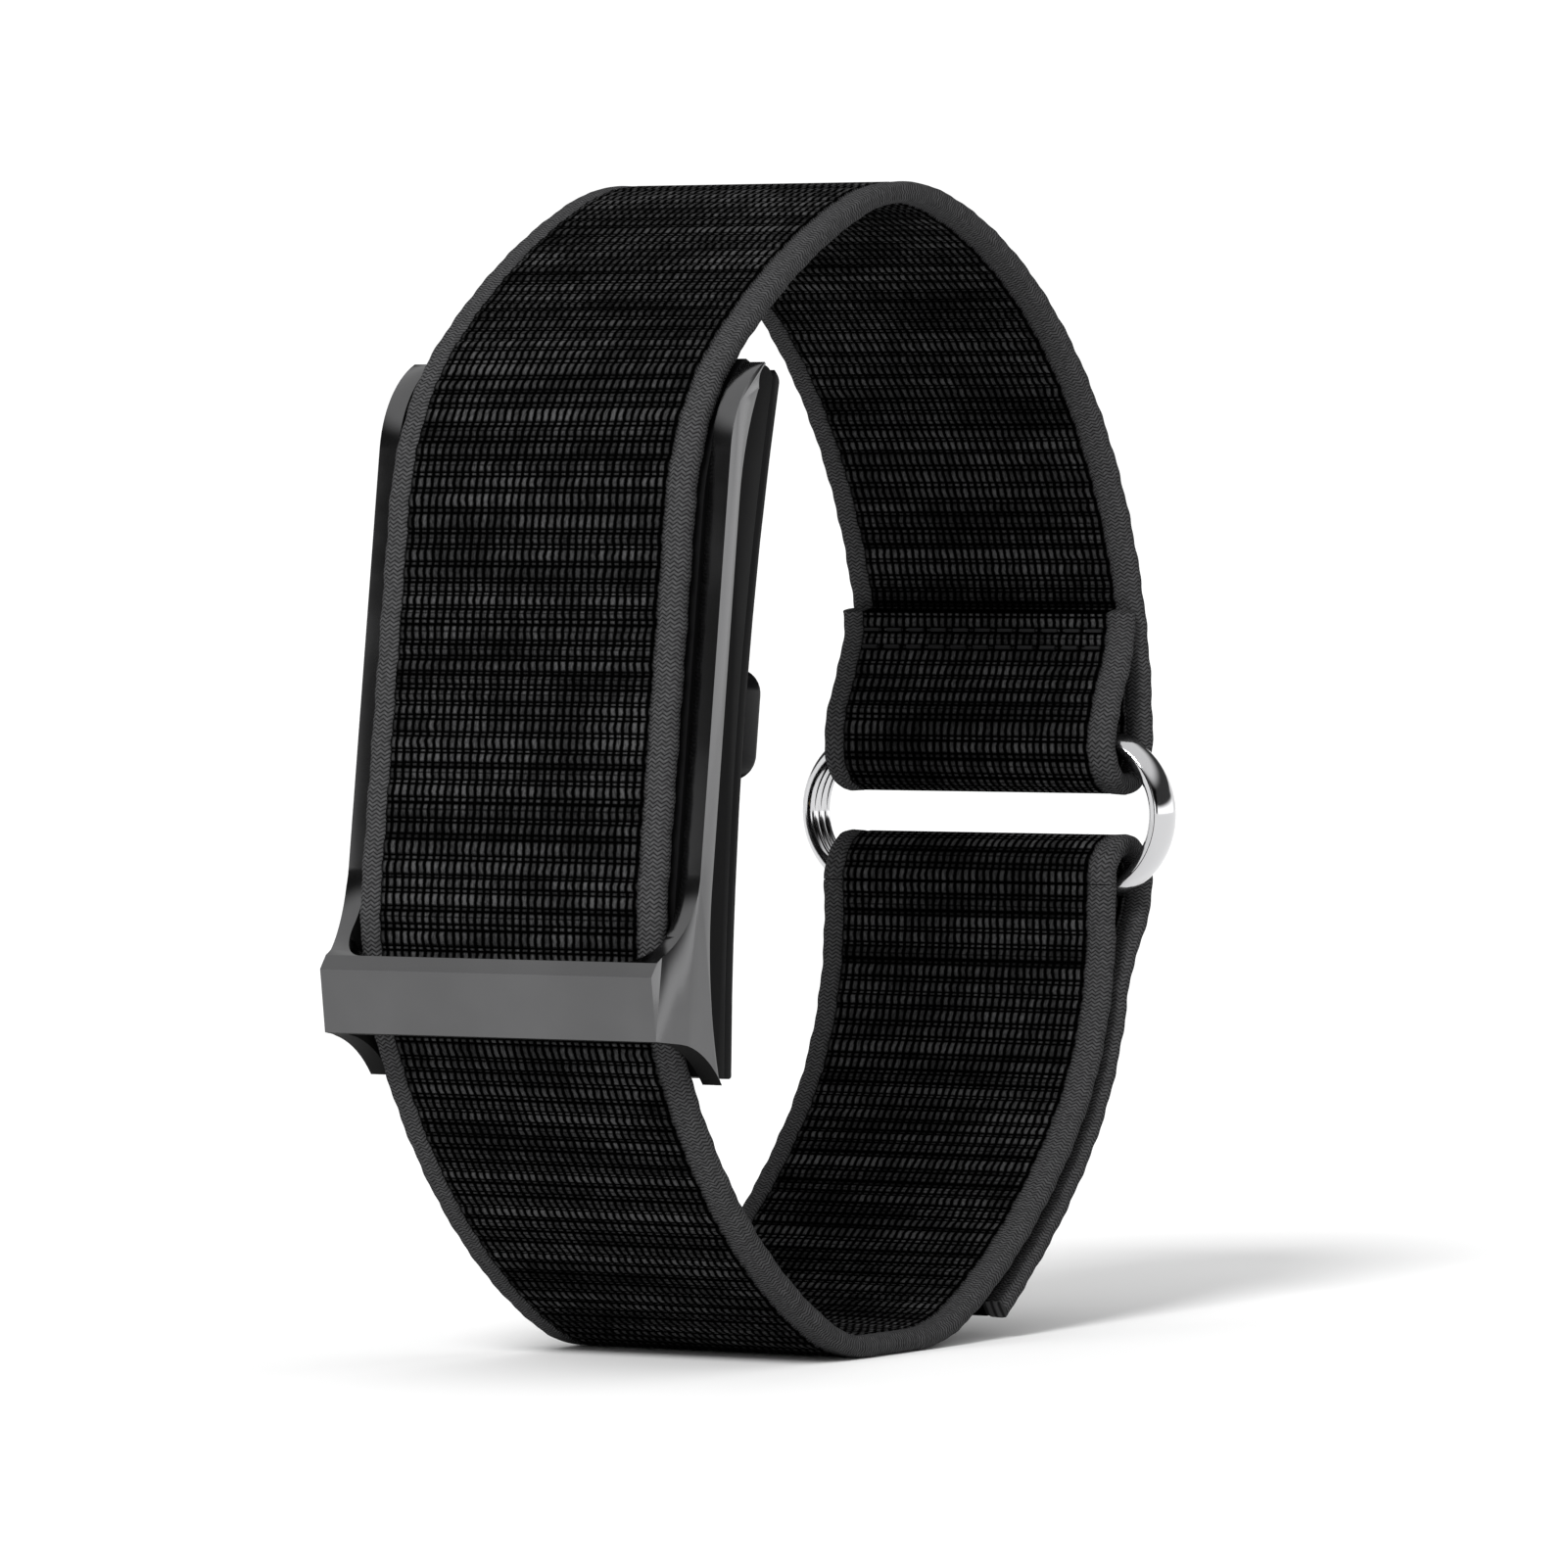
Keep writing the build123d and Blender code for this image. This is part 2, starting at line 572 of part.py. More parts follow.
with BuildPart() as sensor_board:
    plate(SENSOR_BOARD_FROM, SENSOR_BOARD_TO, 18.4, 3.4)

with BuildPart() as flex_ribbon:
    with BuildSketch(SIDE):
        with BuildLine() as ribbon_path:
            Polyline((BOARD_TO + 0.1, -1.6), (BOARD_TO + 0.1, 1.3), (6.0, 1.3), (6.0, -1.2))
        trace(ribbon_path.line.edges(), 0.14)
    extrude(amount=1.5, both=True)

# Optical parts on the sensor board, under the window's inside face
OPTICS_TO = 7.0
LED_KINDS = {"green_leds": (-2.6, 2.6), "red_led": (-0.8,), "infrared_led": (0.8,)}
LED_SIZE = 0.9
leds = {}
for name, places in LED_KINDS.items():
    with BuildPart() as leds[name]:
        for x in places:
            plate(SENSOR_BOARD_TO, OPTICS_TO, LED_SIZE, 1.4, x=x)

with BuildPart() as photodiodes:
    for x in (-8.1, -5.6, 5.6, 8.1):
        plate(SENSOR_BOARD_TO, OPTICS_TO - 0.1, 1.8, 2.6, x=x)

with BuildPart() as light_barrier:
    plate(SENSOR_BOARD_TO, WINDOW_FACE - WINDOW_WALL - 0.05, 7.6, 3.4)
    with BuildSketch(FACE.offset(-REACH)):
        Rectangle(6.8, 2.6)
    extrude(amount=REACH, mode=Mode.SUBTRACT)

with BuildPart() as charging_contacts:
    with BuildSketch(FACE.offset(-back_depth(CONTACTS[0][1]))):
        with Locations(*CONTACTS):
            Circle(CONTACT_RADIUS - 0.05)
    extrude(amount=back_depth(CONTACTS[0][1]) - BOARD_TO)

with BuildPart() as board_screws:
    with BuildSketch(FACE.offset(-BOARD_TO)):
        with Locations(*BOSSES):
            Circle(SCREW_RADIUS - 0.02)
    extrude(amount=BOARD_TO - BOARD_FROM + SCREW_LENGTH - 0.5)
    with BuildSketch(FACE.offset(-BOARD_TO)):
        with Locations(*BOSSES):
            Circle(SCREW_HEAD_RADIUS)
    extrude(amount=-0.45)


# ------------------------------------------------------- clasp and spring bar
with BuildPart() as clasp_frame:
    with BuildSketch(SIDE):
        with BuildLine() as arm_edge:
            straight = Line((0, ARM_STRAIGHT_LOW), (0, ARM_STRAIGHT_HIGH))
            top = JernArc(straight @ 1, (0, 1), ARM_TOP_RADIUS, -ARM_TOP_SWEEP)
            ThreePointArc(*EAR_BACK)
            Polyline(EAR_BACK[-1], EAR_END, top @ 1)
            Line(EAR_BACK[0], (ARM_DEPTH, ARM_STRAIGHT_LOW))
            ThreePointArc(*FOOT_BACK)
            Line(FOOT_BACK[-1], FOOT_TIP)
            TangentArc(BAR_FOOT_START, FOOT_TIP, tangent=(1, 0.0))
            Line(BAR_FOOT_START, BAR_FRONT_LOW)
            Polyline(BAR_FRONT_LOW, BAR_FRONT_TOP, BAR_BEVEL_TOP)
            TangentArc(straight @ 0, BAR_BEVEL_TOP, tangent=(0, -1))
        make_face()
        with Locations(HINGE_POINT):
            Circle(EAR_RADIUS)
    extrude(amount=ARM_OUTER, both=True)
    # Narrower at the crossbar than along the arms
    with BuildSketch(PLAN.offset(-REACH)):
        with BuildLine():
            Polyline(
                (ARM_OUTER, REACH),
                (ARM_OUTER, BAR_TAPER_FROM),
                (BAR_HALF_FRONT, BAR_TAPER_TO),
                (BAR_HALF_FRONT, -REACH),
                (-BAR_HALF_FRONT, -REACH),
                (-BAR_HALF_FRONT, BAR_TAPER_TO),
                (-ARM_OUTER, BAR_TAPER_FROM),
                (-ARM_OUTER, REACH),
                close=True,
            )
        make_face()
    extrude(amount=2 * REACH, mode=Mode.INTERSECT)
    # The strap's window, then the tunnel behind the crossbar
    with BuildSketch(FACE.offset(-REACH)):
        with Locations((0, WINDOW_BOTTOM)):
            RectangleRounded(
                2 * ARM_INNER, 4 * REACH, WINDOW_CORNER, align=(Align.CENTER, Align.MIN)
            )
    extrude(amount=2 * REACH, mode=Mode.SUBTRACT)
    with BuildSketch(FACE.offset(-REACH)):
        Rectangle(2 * ARM_INNER, 4 * REACH)
    extrude(amount=REACH - BAR_BACK, mode=Mode.SUBTRACT)
    # Holes for the spring bar's tips, room for the caps, and notches for the catch springs
    with BuildSketch(SIDE):
        with Locations(HINGE_POINT):
            Circle(TIP_HOLE_RADIUS)
    extrude(amount=ARM_OUTER, both=True, mode=Mode.SUBTRACT)
    for side in SIDES:
        with BuildSketch(side_slice(side, EAR_OUTER)):
            with Locations(HINGE_POINT):
                Circle(CAP_RADIUS + CAP_GAP)
        extrude(amount=side * (ARM_OUTER - EAR_OUTER), mode=Mode.SUBTRACT)
    for side in SIDES:
        with BuildSketch(FACE.offset(-REACH)):
            with Locations((side * ARM_INNER, NOTCH_RISE)):
                Rectangle(1.0, 2 * NOTCH_HALF)
        extrude(amount=REACH - CATCH_FROM + 0.15, mode=Mode.SUBTRACT)

catch_springs = {}
for name, side in {"catch_spring_right": 1, "catch_spring_left": -1}.items():
    seat = side * (POD_NECK_HALF_WIDTH - 0.35)
    nose = side * (ARM_INNER + 0.15)
    with BuildPart() as catch_springs[name]:
        with BuildSketch(FACE.offset(-CATCH_TO + 0.05)):
            with BuildLine() as leaf_path:
                Polyline(
                    (seat, NOTCH_RISE - CATCH_HALF_LENGTH),
                    (seat, NOTCH_RISE - CATCH_HALF_LENGTH + 0.8),
                    (nose, NOTCH_RISE),
                    (seat, NOTCH_RISE + CATCH_HALF_LENGTH - 0.8),
                    (seat, NOTCH_RISE + CATCH_HALF_LENGTH),
                )
            trace(leaf_path.line.edges(), 0.18)
        extrude(amount=CATCH_TO - CATCH_FROM - 0.1)

with BuildPart() as bar_tube:
    with BuildSketch(SIDE):
        with Locations(HINGE_POINT):
            Circle(BAR_TUBE_RADIUS)
    extrude(amount=BAR_TUBE_HALF, both=True)
    with BuildSketch(SIDE):
        with Locations(HINGE_POINT):
            Circle(TIP_HOLE_RADIUS)
    extrude(amount=BAR_TUBE_HALF, both=True, mode=Mode.SUBTRACT)
    with BuildSketch(SIDE):
        with Locations(HINGE_POINT):
            Circle(TIP_SLEEVE_RADIUS)
    extrude(amount=TIP_COLLAR_TO + 0.05, both=True, mode=Mode.SUBTRACT)

bar_tips = {}
for name, side in {"bar_tip_right": 1, "bar_tip_left": -1}.items():
    with BuildPart() as bar_tips[name]:
        with BuildSketch(side_slice(side, TIP_COLLAR_FROM)):
            with Locations(HINGE_POINT):
                Circle(TIP_RADIUS)
        extrude(amount=side * (TIP_END - TIP_COLLAR_FROM))
        with BuildSketch(side_slice(side, TIP_COLLAR_FROM)):
            with Locations(HINGE_POINT):
                Circle(TIP_COLLAR_RADIUS)
        extrude(amount=side * (TIP_COLLAR_TO - TIP_COLLAR_FROM))

with BuildPart() as bar_spring:
    with BuildSketch(SIDE):
        with Locations(HINGE_POINT):
            Circle(TIP_COLLAR_RADIUS - 0.04)
            Circle(TIP_COLLAR_RADIUS - 0.2, mode=Mode.SUBTRACT)
    extrude(amount=TIP_COLLAR_FROM - 0.05, both=True)


# ----------------------------------------------------------------- the files
NODES = {
    "strap_band": strap_band,
    "upper_fold_flap": upper_fold_flap,
    "lower_fold": lower_fold,
    "strap_tail": strap_tail,
    "hook_patch": hook_patch,
    "flap_stitches": flap_stitches,
    "tail_stitches": tail_stitches,
    "ring": ring,
    "clasp_frame": clasp_frame,
    "bar_tube": bar_tube,
    "bar_spring": bar_spring,
    "front_cover": front_cover,
    "mid_frame": mid_frame,
    "back_gasket": back_gasket,
    "back_cover": back_cover,
    "sensor_window": sensor_window,
    "light_barrier": light_barrier,
    "photodiodes": photodiodes,
    "sensor_board": sensor_board,
    "flex_ribbon": flex_ribbon,
    "main_board": main_board,
    "board_screws": board_screws,
    "processor_chip": processor_chip,
    "shield_can": shield_can,
    "motion_sensor": motion_sensor,
    "antenna": antenna,
    "battery_cell": battery_cell,
    "battery_foam": battery_foam,
    "vibration_motor": vibration_motor,
    "motor_pad": motor_pad,
    "charging_contacts": charging_contacts,
    **leds,
    **catch_springs,
    **bar_tips,
}
for name, builder in NODES.items():
    builder.part.label = name
    export_step(builder.part, f"parts/{name}.step")
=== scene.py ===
import random
from math import cos, pi, radians, sin, sqrt

import bmesh
import bpy
from bpy.props import FloatProperty, FloatVectorProperty, IntProperty, PointerProperty
from mathutils import Matrix, Vector
from mathutils.geometry import interpolate_bezier


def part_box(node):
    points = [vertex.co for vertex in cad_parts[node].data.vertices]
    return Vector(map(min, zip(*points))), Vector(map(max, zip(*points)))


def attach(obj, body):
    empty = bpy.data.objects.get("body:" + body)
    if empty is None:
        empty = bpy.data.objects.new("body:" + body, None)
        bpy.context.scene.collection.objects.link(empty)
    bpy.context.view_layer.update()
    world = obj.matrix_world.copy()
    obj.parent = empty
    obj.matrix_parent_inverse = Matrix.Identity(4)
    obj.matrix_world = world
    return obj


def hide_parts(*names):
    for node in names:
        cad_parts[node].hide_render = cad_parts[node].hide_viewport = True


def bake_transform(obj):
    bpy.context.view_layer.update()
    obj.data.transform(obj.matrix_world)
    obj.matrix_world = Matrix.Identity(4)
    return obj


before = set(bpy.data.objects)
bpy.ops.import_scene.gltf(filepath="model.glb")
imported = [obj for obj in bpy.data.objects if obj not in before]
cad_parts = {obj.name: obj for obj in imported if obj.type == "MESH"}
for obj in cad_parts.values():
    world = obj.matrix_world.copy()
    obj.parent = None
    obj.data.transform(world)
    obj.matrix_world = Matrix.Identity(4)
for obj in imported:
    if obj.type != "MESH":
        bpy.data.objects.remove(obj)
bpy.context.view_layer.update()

bl_info = {
    "name": "Fitness Tracker Band",
    "version": (1, 0, 0),
    "blender": (4, 5, 0),
    "location": "View3D > Sidebar > Tracker Band",
    "description": "Builds the woven strap, clasp, pod and ring of a screenless fitness tracker",
    "category": "Add Mesh",
}

MM = 0.001

# The loop's side outline, as tangent arcs (radius in mm, sweep in degrees)
MIDDLE_LINE = 0.7
FLAT_RUN = 6.0
FRONT_ARCS = ((12.5, 25), (40.5, 39), (18, 34))
FRONT_RUN = 23.0
TOP_ARCS = ((16, 42), (52.5, 20), (19, 34), (36.5, 76))
REAR_ARCS = ((15, 26), (45, 23))
LAST_REAR_SWEEP = 41

# The folds round the ring, the flap sewn inside and the tail outside, in mm and degrees
FOLD_RADIUS = 2.6
FOLD_REACH = 4.6
FLAP_RISE = 8.9
FLAP_OFFSET = 1.45
TAIL_OFFSET = 2.3
TAIL_JOIN = 12
TAIL_LAST_SWEEP = 12
TAIL_TIP_RUN = 5.0
COURSE_STEP = 0.2
BEND_POINTS = 60

# The webbing's section: half its thickness on the ribbed face, a groove beside that face
# (distance out, height over it) and the rolled selvedge (distance in, height), in mm
FACE_HEIGHT = 0.60
FACE_COLUMNS = 10
GROOVE = ((0.12, -0.07), (0.32, 0.06))
ROLL = ((0.62, 0.70), (0.30, 0.62), (0.08, 0.38), (0.0, 0.0))
ROLL_WIDTH, ROLL_HEIGHT = ROLL[0]

# One rib of the webbing, as parts of its row and the lift at each
RIB_LIFTS = (
    (0.0, 0.0), (0.10, 0.7), (0.28, 1.0), (0.48, 1.0), (0.64, 0.6), (0.76, 0.1), (0.87, 0.5)
)
RIB_HEIGHT = 0.10
RIB_SINK = 0.01
RIB_LIFT_LEAST = 0.75
RIB_LIFT_SPREAD = 0.4
ROW_SHARES = (0.78, 0.9, 1.0, 1.0, 1.12, 1.25)

# The webbing's edges waver: height in mm and waves per mm, full at this distance from the middle
LONG_WAVER = (0.035, 1.7)
SHORT_WAVER = (0.025, 4.1)
WAVER_AT = 11

# The ring's wall in mm, and its section as shares of the wall and the depth
RING_WALL = 1.2
DOME_STEPS, INNER_RIB_STEPS, INNER_RIBS = 14, 5, 3
INNER_RIB_SHARE = 0.44
INNER_RIB_FILL = 0.9
INNER_RIB_BASE, INNER_RIB_RISE = 0.26, 0.24
RING_TURN_STEPS = 40

# Which edges of the clasp are the crossbar's upright corners, in mm
CORNER_OUTSIDE = 11.9
CORNER_DEPTH = 1.4
CORNER_HEIGHT = 2

# Which faces of the clasp are painted near-black as shade: those facing inwards and those facing
# down
FACES_INWARDS = 0.9
FACES_DOWN = -0.6

# The weave, in mm across and parts of a row along. The threads' rounding, the cells' rims, the
# pinch and the dark gaps between them are painted shade in the strap's colour, and they also raise
# its bump
COLUMN_PITCH = 0.545
COLUMN_WANDER = 0.55
WANDER_STRETCH = (0.6, 1.3, 1)
THREAD_ROUNDNESS = 0.85
THREAD_EDGE = (0.48, 0.97)
TALL_CELL_TOP = (0.66, 0.75)
CELL_RIM = 0.13
PINCH_AT, PINCH_REACH, PINCH_SHADE = 0.4, 0.08, 0.25
PINCHED_BELOW = 0.35
THIN_CELL_AT = 0.865
THIN_CELL_EDGE = (0.025, 0.10)
THIN_CELL_DICE = (0.1, 0.6)
THIN_CELL_TONE = (0.35, 0.95)
ROW_DICE = 7.31
ROW_TONE = (0.62, 1.1)
CELL_TONE = (0.55, 1.15)
FIBRE_STRETCH = (9, 3.2, 1)
FIBRE_EDGE = (0.25, 0.75)
FIBRE_TONE = (0.45, 1.25)
PATCH_STRETCH = (0.10, 0.32, 1)
PATCH_EDGE = (0.32, 0.68)
PATCH_TONE = (0.45, 1.2)

# The herringbone selvedge: widths in mm, tones as parts of one
CHEVRON_SHIFT = 0.15
CHEVRON_WIDTH = 0.29
STRAND_PITCH = 0.27
STRAND_SLANT = 2.6
STRAND_PATCHES = 3.0
STRAND_PATCH_EDGE = (0.3, 0.7)
STRAND_LEAST = 0.6
TWILL_SHADE = 0.08
SELVEDGE_EDGE = (-0.05, 0.12)
BESIDE_SELVEDGE = (-0.35, -0.02)
BESIDE_SELVEDGE_TONE = 0.15

# How far the webbing's threads seem to stand out
WEAVE_RELIEF = 0.12 * MM
WEAVE_BUMP = 0.8
FIBRE_RELIEF = 0.25
STRAND_RELIEF = 0.55

# Fine grain and marks of handling on the smooth finishes
GRAIN_RELIEF = 0.02 * MM
SMUDGE_EDGE = (0.35, 0.7)

# The studio: what the camera sees behind, and the key light's width and direction
BACKDROP = 1.05
KEY_WIDTH = 16
KEY_TRAVEL = (-0.12, 0.78, -0.60)
FLOOR_SIZE = 20
FLOOR_PATCHES = 3.0
FLOOR_PALER = 1.01

# What the metal reflects, by the direction of the reflection (parts of one): pale walls that
# end at a soft edge, two dark posts in front, a dim floor and a soft box overhead
LEFT_WALL, RIGHT_WALL, ABOVE_WALLS = 1.0, 1.9, 0.05
LEFT_WALL_TOP = (0.19, 0.222)
RIGHT_WALL_TOP = (0.07, 0.17)
WALLS_MEET = (0.1, 0.4)
POSTS_MIDDLE, POSTS_SPREAD = 0.35, 0.40
POST_EDGE = (0.13, 0.20)
POST_TONE = 0.04
POSTS_BEHIND = (-0.25, 0.0)
OVERHEAD_EDGE = (0.42, 0.70)
OVERHEAD = 0.85
FLOOR_EDGE = (-0.85, -0.1)
FLOOR_TONE = 0.2


# ------------------------------------------------------------------ settings
class StrapSettings(bpy.types.PropertyGroup):
    """Sizes and colours of the woven strap."""

    width: FloatProperty(
        name="Width", description="Width of the webbing", default=22.0 * MM, unit="LENGTH"
    )
    rib_spacing: FloatProperty(
        name="Rib spacing",
        description="Average distance between two crosswise ribs",
        default=1.08 * MM,
        unit="LENGTH",
    )
    selvedge: FloatProperty(
        name="Selvedge",
        description="Width of the fine twill edge",
        default=1.7 * MM,
        unit="LENGTH",
    )
    thread: FloatVectorProperty(
        name="Thread", description="Colour of the thread cells", subtype="COLOR", size=3,
        default=(0.062, 0.062, 0.063),
    )
    # Painted shade: the near-black colour in the gaps between the thread cells and on their sides
    gap_shade: FloatVectorProperty(
        name="Ground", description="Colour between the threads", subtype="COLOR", size=3,
        default=(0.0004, 0.0004, 0.0004),
    )
    twill: FloatVectorProperty(
        name="Twill", description="Colour of the selvedge's threads", subtype="COLOR", size=3,
        default=(0.080, 0.080, 0.082),
    )
    seed: IntProperty(name="Seed", description="Sets the uneven spacing of the ribs", default=11)


class MetalSettings(bpy.types.PropertyGroup):
    """Colours and edges of the clasp and the ring."""

    coating: FloatVectorProperty(
        name="Coating", description="Colour of the clasp's dark coating", subtype="COLOR", size=3,
        default=(0.122, 0.122, 0.124),
    )
    coating_roughness: FloatProperty(
        name="Coating roughness", description="Roughness of the clasp", default=0.12, min=0, max=1
    )
    steel: FloatVectorProperty(
        name="Steel", description="Colour of the ring", subtype="COLOR", size=3,
        default=(0.60, 0.60, 0.61),
    )
    clasp_edge: FloatProperty(
        name="Clasp edge", description="Rounding of the clasp's edges", default=0.2 * MM,
        unit="LENGTH",
    )
    bar_corner: FloatProperty(
        name="Crossbar corner", description="Rounding of the crossbar's upright corners",
        default=1.3 * MM, unit="LENGTH",
    )


class PodSettings(bpy.types.PropertyGroup):
    """Colours and edges of the sensor pod."""

    shell: FloatVectorProperty(
        name="Shell", description="Colour of the pod's shell", subtype="COLOR", size=3,
        default=(0.006, 0.006, 0.0063),
    )
    window: FloatVectorProperty(
        name="Window", description="Colour of the sensor window", subtype="COLOR", size=3,
        default=(0.004, 0.004, 0.0045),
    )
    edge: FloatProperty(
        name="Edge", description="Rounding of the shell's edges", default=0.12 * MM, unit="LENGTH"
    )


class StageSettings(bpy.types.PropertyGroup):
    """Floor, light and camera."""

    floor: FloatVectorProperty(
        name="Floor", description="Colour of the floor", subtype="COLOR", size=3,
        default=(0.9, 0.9, 0.9),
    )
    sun: FloatProperty(name="Sun", description="Strength of the key light", default=2.6)
    sky: FloatProperty(name="Sky", description="Strength of the even light", default=0.75)
    lens: FloatProperty(name="Lens", description="Focal length in millimetres", default=242.6)
    camera_place: FloatVectorProperty(
        name="Camera", description="Place of the camera", subtype="TRANSLATION", size=3,
        default=(0.3418, -0.5878, 0.0547),
    )
    camera_turn: FloatVectorProperty(
        name="Camera turn", description="Turn of the camera", subtype="EULER", size=3,
        default=(radians(88.453), 0, radians(30)),
    )


class BandSettings(bpy.types.PropertyGroup):
    """All settings of the tracker band."""

    strap: PointerProperty(type=StrapSettings, name="Strap", description="The woven strap")
    metal: PointerProperty(type=MetalSettings, name="Metal", description="Clasp and ring")
    pod: PointerProperty(type=PodSettings, name="Pod", description="The sensor pod")
    stage: PointerProperty(type=StageSettings, name="Stage", description="Floor and light")


# --------------------------------------------------------- shader node helpers
class NodeKit:
    """Adds linked nodes to one node tree with little writing."""

    def __init__(self, tree):
        self.tree = tree

    def add(self, kind, **settings):
        node = self.tree.nodes.new(kind)
        for key, value in settings.items():
            setattr(node, key, value)
        return node

    def feed(self, socket, value):
        if isinstance(value, bpy.types.NodeSocket):
            self.tree.links.new(value, socket)
        else:
            socket.default_value = value

    def math(self, operation, *values):
        node = self.add("ShaderNodeMath", operation=operation)
        for socket, value in zip(node.inputs, values):
            self.feed(socket, value)
        return node.outputs[0]

    def times(self, first, second):
        return self.math("MULTIPLY", first, second)

    def away_from(self, value, centre):
        """How far a value is from a centre, to either side."""
        return self.math("ABSOLUTE", self.math("SUBTRACT", value, centre))

    def span(self, value, low, high, to_low=0.0, to_high=1.0, smooth=True):
        node = self.add(
            "ShaderNodeMapRange", interpolation_type="SMOOTHSTEP" if smooth else "LINEAR"
        )
        for name, part in (
            ("Value", value),
            ("From Min", low),
            ("From Max", high),
            ("To Min", to_low),
            ("To Max", to_high),
        ):
            self.feed(node.inputs[name], part)
        return node.outputs[0]

    def scaled(self, value, tones):
        """A value from 0 to 1 turned evenly into a pair of tones."""
        return self.span(value, 0, 1, *tones, smooth=False)

    def mix(self, amount, first, second):
        node = self.add("ShaderNodeMix", data_type="RGBA")
        self.feed(node.inputs[0], amount)
        self.feed(node.inputs[6], first)
        self.feed(node.inputs[7], second)
        return node.outputs[2]

    def noise(self, vector, scale, detail=2.0):
        node = self.add("ShaderNodeTexNoise")
        self.feed(node.inputs["Vector"], vector)
        self.feed(node.inputs["Scale"], scale)
        self.feed(node.inputs["Detail"], detail)
        return node.outputs["Fac"]

    def dice(self, socket, value, dimensions):
        """A random value from 0 to 1 for each whole number or pair of numbers."""
        node = self.add("ShaderNodeTexWhiteNoise", noise_dimensions=dimensions)
        self.feed(node.inputs[socket], value)
        return node.outputs["Value"]

    def stretched(self, vector, scale):
        node = self.add("ShaderNodeMapping")
        self.feed(node.inputs["Vector"], vector)
        node.inputs["Scale"].default_value = scale
        return node.outputs[0]


def colour4(colour):
    return (*colour, 1.0)


def node_group(name, inputs, outputs):
    """Make an empty shader node group and return it with its kit and ends."""
    group = bpy.data.node_groups.new(name, "ShaderNodeTree")
    for label, kind in inputs:
        group.interface.new_socket(label, in_out="INPUT", socket_type=kind)
    for label, kind in outputs:
        group.interface.new_socket(label, in_out="OUTPUT", socket_type=kind)
    kit = NodeKit(group)
    return group, kit, kit.add("NodeGroupInput"), kit.add("NodeGroupOutput")


def new_material(name, **constants):
    """Make a material and return it with its kit and its Principled shader."""
    material = bpy.data.materials.new(name)
    material.use_nodes = True
    material.node_tree.nodes.clear()
    kit = NodeKit(material.node_tree)
    shader = kit.add("ShaderNodeBsdfPrincipled")
    output = kit.add("ShaderNodeOutputMaterial")
    kit.feed(output.inputs["Surface"], shader.outputs[0])
    for key, value in constants.items():
        shader.inputs[key.replace("_", " ")].default_value = value
    return material, kit, shader


def surface_grain_group():
    """Fine handling marks: a value that varies over the surface, and a height."""
    if "Surface Grain" in bpy.data.node_groups:
        return bpy.data.node_groups["Surface Grain"]
    group, kit, ends_in, ends_out = node_group(
        "Surface Grain",
        [("Position", "NodeSocketVector"), ("Grain Scale", "NodeSocketFloat"),
         ("Smudge Scale", "NodeSocketFloat")],
        [("Smudge", "NodeSocketFloat"), ("Grain", "NodeSocketFloat")],
    )
    smudge = kit.noise(ends_in.outputs["Position"], ends_in.outputs["Smudge Scale"], 4)
    grain = kit.noise(ends_in.outputs["Position"], ends_in.outputs["Grain Scale"], 2)
    kit.feed(ends_out.inputs["Smudge"], kit.span(smudge, *SMUDGE_EDGE))
    kit.feed(ends_out.inputs["Grain"], grain)
    return group


def grained(name, colour, roughness, spread, grain_scale=4200, smudge_scale=160,
            bump=0.02, tint=0.12, **constants):
    """A material whose colour and roughness vary with handling marks and fine grain."""
    material, kit, shader = new_material(name, **constants)
    place = kit.add("ShaderNodeTexCoord").outputs["Object"]
    grain = kit.add("ShaderNodeGroup", node_tree=surface_grain_group())
    kit.feed(grain.inputs["Position"], place)
    kit.feed(grain.inputs["Grain Scale"], grain_scale)
    kit.feed(grain.inputs["Smudge Scale"], smudge_scale)
    darker = tuple(part * (1 - tint) for part in colour)
    lighter = tuple(min(1, part * (1 + tint)) for part in colour)
    kit.feed(
        shader.inputs["Base Color"],
        kit.mix(grain.outputs["Smudge"], colour4(darker), colour4(lighter)),
    )
    kit.feed(
        shader.inputs["Roughness"],
        kit.scaled(grain.outputs["Smudge"], (roughness, roughness + spread)),
    )
    raised = kit.add("ShaderNodeBump")
    raised.inputs["Strength"].default_value = bump
    raised.inputs["Distance"].default_value = GRAIN_RELIEF
    kit.feed(raised.inputs["Height"], grain.outputs["Grain"])
    kit.feed(shader.inputs["Normal"], raised.outputs[0])
    return material


